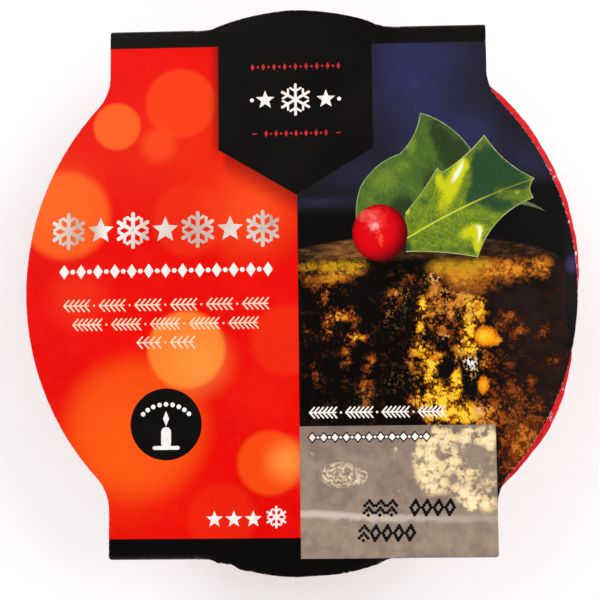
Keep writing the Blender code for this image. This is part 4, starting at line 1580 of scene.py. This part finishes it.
def snowflake_outlines(x, y, radius, width):
    """Six bars from the middle, each with a pair of short branches at 60 degrees to it."""
    bars = []
    for heading in np.arange(6) * 60.0 + 30.0:
        bars.append(bar_outline(x, y, heading, 0.0, radius - width / 2, width))
        joint = math.radians(heading)
        fork = x + 0.52 * radius * math.cos(joint), y + 0.52 * radius * math.sin(joint)
        for side in (-60.0, 60.0):
            bars.append(bar_outline(*fork, heading + side, 0.0, 0.36 * radius, 0.8 * width))
    return bars


def stamped(outlines, rise, ground=panel_height):
    """One mesh of flat plates, each outline filled from its own middle to its corners.

    Plates that may cross differ in height by a millionth of a metre, so that none are in one plane.
    """
    points, faces, count = [], [], 0
    for number, outline in enumerate(outlines):
        middle = np.broadcast_to(outline.mean(axis=0), outline.shape)
        x, y = np.stack([middle, outline]).transpose(2, 0, 1)
        quads = grid_faces(numbered(*x.shape), around=True, flip=True)
        plate, plate_quads = ink_plate(x, y, quads, rise + 0.001 * (number % 12), ground)
        points.append(plate)
        faces.append(plate_quads + count)
        count += len(plate)
    return np.vstack(points), np.vstack(faces)


def silver_foil():
    """Hot-stamped foil with fine rub marks, its colour a painted reflection from pinkish to pale.
    """
    material, tree, shader = new_material("silver_foil")
    # Painted reflection: the red round the foil and its mirrored light, as pink to pale streaks.
    painted_reflection = mottle(tree, place(tree, stretch=(1.0, 0.35, 1.0)), 0.16, detail=2.0)
    colour = tones(tree, painted_reflection, [
        (0.32, ink(190, 164, 148)), (0.5, ink(226, 208, 198)), (0.68, ink(242, 234, 230)),
    ])
    feed(tree, shader.inputs["Base Color"], colour)
    rubs = mottle(tree, place(tree, stretch=(0.4, 2.0, 1.0)), 2.0, detail=4.0)
    shader.inputs["Metallic"].default_value = 0.3
    feed(tree, shader.inputs["Roughness"], fade(tree, rubs, 0.3, 0.7, 0.28, 0.42))
    tilt(tree, shader, rubs, 0.01)
    return material


foil_x = np.linspace(*FOIL_ROW[:2], FOIL_COUNT)
foil_outlines = []
for number, x in enumerate(foil_x):
    if number % 2:
        foil_outlines.append(star_outline(x, FOIL_ROW[2], *FOIL_STAR))
    else:
        foil_outlines += snowflake_outlines(x, FOIL_ROW[2], *FOIL_FLAKE)
foil = mesh_piece("foil_ornaments", *stamped(foil_outlines, FOIL_RISE), [silver_foil()], weld=True)
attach(foil, "root")


# ------------------------------------------------------------------------------------------------
# Line ornaments. Small shapes in opaque white, cream, red and black ink, where a pack has its
# captions: rows of diamonds and dots, fir twigs, a snowflake badge and a candle in a black disc.
# The two side panels carry rows of the same shapes.
# ------------------------------------------------------------------------------------------------
INK_RISE = 0.03
OVERPRINT_RISE = 0.05
DISC_CENTRE = (-23.1, -23.1)
DISC_RADIUS = 6.1
BADGE_MIDDLE = (-0.4, 33.0)
BADGE_ROW_Y = 27.0                # lower row of red diamonds on the badge
OUTLINED_Y = -25.6
FIELD_STAR_Y = -39.2
SIDE_STAR_Y = 8.0
# Diamonds: half width, half height, radius of the dots between them
WHITE_DIAMONDS = (0.86, 1.25, 0.42)
BADGE_DIAMONDS = (0.34, 0.62, 0.22)
UNDER_DIAMONDS = (0.85, 0.98, 0.42)
OVER_DIAMONDS = (0.58, 0.66, 0.24)
# Fir twigs: height, width of a needle
FIR_TWIGS = (2.1, 0.26)
CAPTION_TWIGS = (1.9, 0.28)
# Stars: radius to the tips, radius to the hollows, number of tips
LARGE_STAR = (1.7, 0.72, 5)
SMALL_STAR = (1.5, 0.42 * 1.5, 5)
FLAME = (1.3, 0.52, 2)


def plain_ink(name, light, dark, spots=0.8):
    """An opaque ink: two close tones where it is laid on thick or thin, under the varnish."""
    material, tree, shader = new_material(name)
    laid = mottle(tree, place(tree), spots, detail=4.0, roughness=0.6)
    feed(tree, shader.inputs["Base Color"],
         layer(tree, ink(*dark), fade(tree, laid, 0.3, 0.65), ink(*light)))
    varnish(tree, shader, 0.26, 0.38)
    return material


def diamond_row(left, right, y, count, half_width, half_height, dot):
    """Diamonds spread evenly from left to right, with a dot in each gap."""
    xs = np.linspace(left + half_width, right - half_width, count)
    corners = np.array([(1, 0), (0, 1), (-1, 0), (0, -1)]) * (half_width, half_height)
    shapes = [(x, y) + corners for x in xs]
    return shapes + [disc_outline(x, y, dot, 12) for x in (xs[:-1] + xs[1:]) / 2]


def fir_row(left, right, y, twigs, height, width):
    """A garland: fir twigs end to end, with slanted needles on both sides and dots between them."""
    pitch = (right - left) / twigs
    gap = 0.9 * height
    shapes = []
    for number in range(twigs):
        start = left + number * pitch + gap / 2
        length = pitch - gap
        shapes.append(bar_outline(start, y, 0.0, 0.0, length, 0.8 * width))
        pairs = max(3, round(length / (0.42 * height)))
        for foot in np.linspace(0.0, length - 0.35 * height, pairs):
            for heading in (48.0, -48.0):
                shapes.append(bar_outline(start + foot, y, heading, 0.0, 0.62 * height, width))
        if number:
            shapes.append(disc_outline(left + number * pitch, y, 0.75 * width, 10))
    return shapes


def row_piece(name, outlines, rise, material):
    """Stamped shapes as one printed piece of the sleeve."""
    return mesh_piece(name, *stamped(outlines, rise), [material], weld=True)


white_ink = plain_ink("white_ink", (252, 244, 240), (238, 222, 214))
cream_ink = plain_ink("cream_ink", (255, 222, 196), (250, 196, 160))
red_ink = plain_ink("red_ink", (206, 48, 48), (170, 34, 34))
black_ink = plain_ink("black_ink", (14, 10, 9), (6, 4, 4), spots=0.3)
jet_ink = plain_ink("jet_ink", (24, 18, 17), (8, 6, 6), spots=2.0)

badge_x, badge_y = BADGE_MIDDLE
badge_white = snowflake_outlines(badge_x, badge_y, 2.9, 0.46)
for side in (-1, 1):
    badge_white.append(star_outline(badge_x + 5.3 * side, badge_y, *LARGE_STAR))
    badge_white.append(disc_outline(badge_x + 7.6 * side, badge_y, 0.36, 12))
badge_red = diamond_row(-8.2, 7.5, 38.9, 9, *BADGE_DIAMONDS)
badge_red += diamond_row(-5.9, 5.2, BADGE_ROW_Y, 7, *BADGE_DIAMONDS)
badge_red += [bar_outline(x, BADGE_ROW_Y, 0.0, -0.3, 0.3, 0.22) for x in (-7.6, 7.0)]

field_white = diamond_row(-41.7, -4.6, 3.3, 13, *WHITE_DIAMONDS)
field_white += [star_outline(x, FIELD_STAR_Y, *SMALL_STAR) for x in (-14.9, -11.6, -8.3)]
field_white += snowflake_outlines(-4.4, -38.9, 1.9, 0.36)
field_cream = []
for left, right, y, twigs in ((-41.8, -4.6, -2.6, 6), (-40.2, -6.4, -5.9, 5),
                              (-29.0, -17.4, -9.1, 2)):
    field_cream += fir_row(left, right, y, twigs, *FIR_TWIGS)

disc_x, disc_y = DISC_CENTRE
candle = [bar_outline(disc_x, disc_y - 2.2, 90.0, -1.0, 0.9, 1.7)]
candle.append(star_outline(disc_x, disc_y + 0.95, *FLAME))
candle.append(bar_outline(disc_x, disc_y - 4.0, 0.0, -2.0, 2.0, 0.65))
arch = np.radians(np.linspace(142.0, 38.0, 9))
candle += [disc_outline(disc_x + 5.0 * math.cos(a), disc_y - 0.9 + 4.3 * math.sin(a), 0.4, 12)
           for a in arch]

caption = fir_row(0.6, 25.2, -21.4, 4, *CAPTION_TWIGS)
outlined_under = diamond_row(1.0, 22.0, OUTLINED_Y, 11, *UNDER_DIAMONDS)
outlined_over = diamond_row(1.25, 21.75, OUTLINED_Y, 11, *OVER_DIAMONDS)


def jet_figures(left, y, first, last, reach):
    """Ink-jet dots in places first to last of a line, each figure seven rows high.

    reach gives, for a row, how many columns of dots its pair stands from the figure's middle.
    """
    cell, step, pitch, slant = 0.36, 0.4, 1.95, 0.12
    dots = []
    for number in range(first, last + 1):
        for row in range(7):
            middle = left + number * pitch + cell * (2 + slant * row)
            dots += [disc_outline(middle + side * cell * reach(row), y + step * row, 0.3, 8)
                     for side in ((-1, 1) if reach(row) else (0,))]
    return dots


def lozenge(row):
    """A diamond: widest in its middle row."""
    return 2 - 2 * abs(row - 3) / 3


def fir_tree(row):
    """Two roofs over a trunk."""
    return (6 - row) % 3


jet_dots = jet_figures(10.4, -38.7, 0, 2, fir_tree) + jet_figures(10.4, -38.7, 4, 7, lozenge)
jet_dots += jet_figures(9.5, -42.9, 0, 0, fir_tree) + jet_figures(9.5, -42.9, 1, 4, lozenge)

side_white = diamond_row(-16.6, 16.6, 29.8, 12, *WHITE_DIAMONDS)
for side in (-1, 1):
    side_white.append(star_outline(5.6 * side, SIDE_STAR_Y, *LARGE_STAR))
    side_white.append(star_outline(16.8 * side, SIDE_STAR_Y, *LARGE_STAR))
for x in (-11.2, 0.0, 11.2):
    side_white += snowflake_outlines(x, SIDE_STAR_Y, 2.6, 0.46)
side_cream = fir_row(-18.6, 18.6, 24.6, 6, *FIR_TWIGS) + fir_row(-12.4, 12.4, 21.3, 4, *FIR_TWIGS)


def flat_ground(x, y):
    """No height anywhere: shapes for a side panel are stamped flat before they are laid on it."""
    return np.zeros(np.shape(x))


def on_both_sides(points, faces):
    """Shapes stamped flat, laid on both side panels with their normals outwards.

    A point is x across the panel as it is read + y up the panel from its base fold + z out of it.
    """
    x, y, z = points.T
    rise = np.array([TOP_CORNER_Y - BASE_FOLD_Y, TOP_Z])
    up_y, up_z = rise / np.hypot(*rise)
    away, height = BASE_FOLD_Y + y * up_y + z * up_z, y * up_z - z * up_y
    laid = [np.stack([-end * x, end * away, height], axis=-1) for end in (-1.0, 1.0)]
    return np.vstack(laid), np.vstack([faces, faces + len(points)])


for name, outlines, material in (("side_white", side_white, white_ink),
                                 ("side_cream", side_cream, cream_ink)):
    shapes = on_both_sides(*stamped(outlines, INK_RISE, flat_ground))
    piece = mesh_piece(name, *shapes, [material], weld=True)
    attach(piece, "root")

for name, outlines, rise, material in (
    ("badge_white", badge_white, INK_RISE, white_ink),
    ("badge_red", badge_red, INK_RISE, red_ink),
    ("field_white", field_white, INK_RISE, white_ink),
    ("field_cream", field_cream, INK_RISE, cream_ink),
    ("portion_disc", [disc_outline(disc_x, disc_y, DISC_RADIUS, 96)], INK_RISE, black_ink),
    ("portion_candle", candle, OVERPRINT_RISE, white_ink),
    ("caption_twigs", caption, INK_RISE, white_ink),
    ("outlined_under", outlined_under, INK_RISE, black_ink),
    ("outlined_over", outlined_over, OVERPRINT_RISE, white_ink),
    ("jet_dots", jet_dots, INK_RISE, jet_ink),
):
    piece = row_piece(name, outlines, rise, material)
    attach(piece, "root")


# ------------------------------------------------------------------------------------------------
# Stage. The pack stands on a plain pale table that runs on past the picture. Three square studio
# lights and a white sky light it softly, and it is seen from almost straight above.
# ------------------------------------------------------------------------------------------------
TABLE_HALF_SIZE = 1500.0
TABLE_POINTS = 13                 # along each side
TABLE_GLOW = 0.16                 # in place of the light that a white room throws back
LIGHT_AIM = (0.0, 0.0, 0.02)
LIGHT_SIZE = 0.5
# Lights in metres and watts: name, place, power
STUDIO_LIGHTS = [
    ("key_light", (-0.36, 0.30, 0.54), 1.9),
    ("fill_light", (0.42, 0.16, 0.52), 1.9),
    ("front_light", (0.12, -0.50, 0.46), 1.3),
]
SKY_STRENGTH = 0.42
CAMERA_DISTANCE = 205.0
CAMERA_AZIMUTH = 20.1
CAMERA_ELEVATION = 84.45
CAMERA_ROLL = -0.63
CAMERA_LENS = 71.6
AIM = (0.0, -2.1)


def pale_table():
    """A matt near-white surface with the faintest clouding and a little glow of its own."""
    material, tree, shader = new_material("pale_table")
    cloud = mottle(tree, place(tree), 0.01, detail=3.0)
    dull, clean = (0.91, 0.91, 0.91, 1.0), (0.95, 0.95, 0.95, 1.0)
    feed(tree, shader.inputs["Base Color"], layer(tree, dull, fade(tree, cloud, 0.3, 0.7), clean))
    shader.inputs["Roughness"].default_value = 0.9
    shader.inputs["Specular IOR Level"].default_value = 0.1
    shader.inputs["Emission Color"].default_value = (1.0, 1.0, 1.0, 1.0)
    shader.inputs["Emission Strength"].default_value = TABLE_GLOW
    return material


table_side = np.linspace(-TABLE_HALF_SIZE, TABLE_HALF_SIZE, TABLE_POINTS)
table_x, table_y = np.meshgrid(table_side, table_side)
table_points = np.stack([table_x.ravel(), table_y.ravel(), np.full(table_x.size, SLEEVE_LOW[2])],
                        axis=-1)
table_faces = grid_faces(numbered(TABLE_POINTS, TABLE_POINTS))
table = mesh_piece("table", table_points, table_faces, [pale_table()])


def soft_box(name, place_at, power):
    """A square studio light at place_at that looks at the pack."""
    lamp = bpy.data.lights.new(name, "AREA")
    lamp.shape = "SQUARE"
    lamp.size = LIGHT_SIZE
    lamp.energy = power
    light = bpy.data.objects.new(name, lamp)
    light.location = place_at
    towards = np.array(LIGHT_AIM) - np.array(place_at)
    light.rotation_euler = Vector(towards).to_track_quat("-Z", "Y").to_euler()
    bpy.context.scene.collection.objects.link(light)


for name, place_at, power in STUDIO_LIGHTS:
    soft_box(name, place_at, power)

world = bpy.data.worlds.new("studio")
world.use_nodes = True
sky = world.node_tree.nodes["Background"]
sky.inputs["Color"].default_value = (1.0, 1.0, 1.0, 1.0)
sky.inputs["Strength"].default_value = SKY_STRENGTH
bpy.context.scene.world = world
bpy.context.scene.view_settings.view_transform = "Standard"

azimuth, elevation = math.radians(CAMERA_AZIMUTH), math.radians(CAMERA_ELEVATION)
back = Vector((math.sin(azimuth) * math.cos(elevation), -math.cos(azimuth) * math.cos(elevation),
               math.sin(elevation)))
right = Vector((0.0, 1.0, 0.0)).cross(back).normalized()
turned = Matrix((right, back.cross(right), back)).transposed() @ Matrix.Rotation(
    math.radians(CAMERA_ROLL), 3, "Z")
camera = bpy.data.objects.new("camera", bpy.data.cameras.new("camera"))
camera.data.lens = CAMERA_LENS
camera.data.sensor_width = 36.0
camera.data.clip_start = 0.01
camera.matrix_world = Matrix.Translation(
    Vector((*AIM, TOP_Z)) * MM + back * CAMERA_DISTANCE * MM) @ turned.to_4x4()
bpy.context.scene.collection.objects.link(camera)
bpy.context.scene.camera = camera
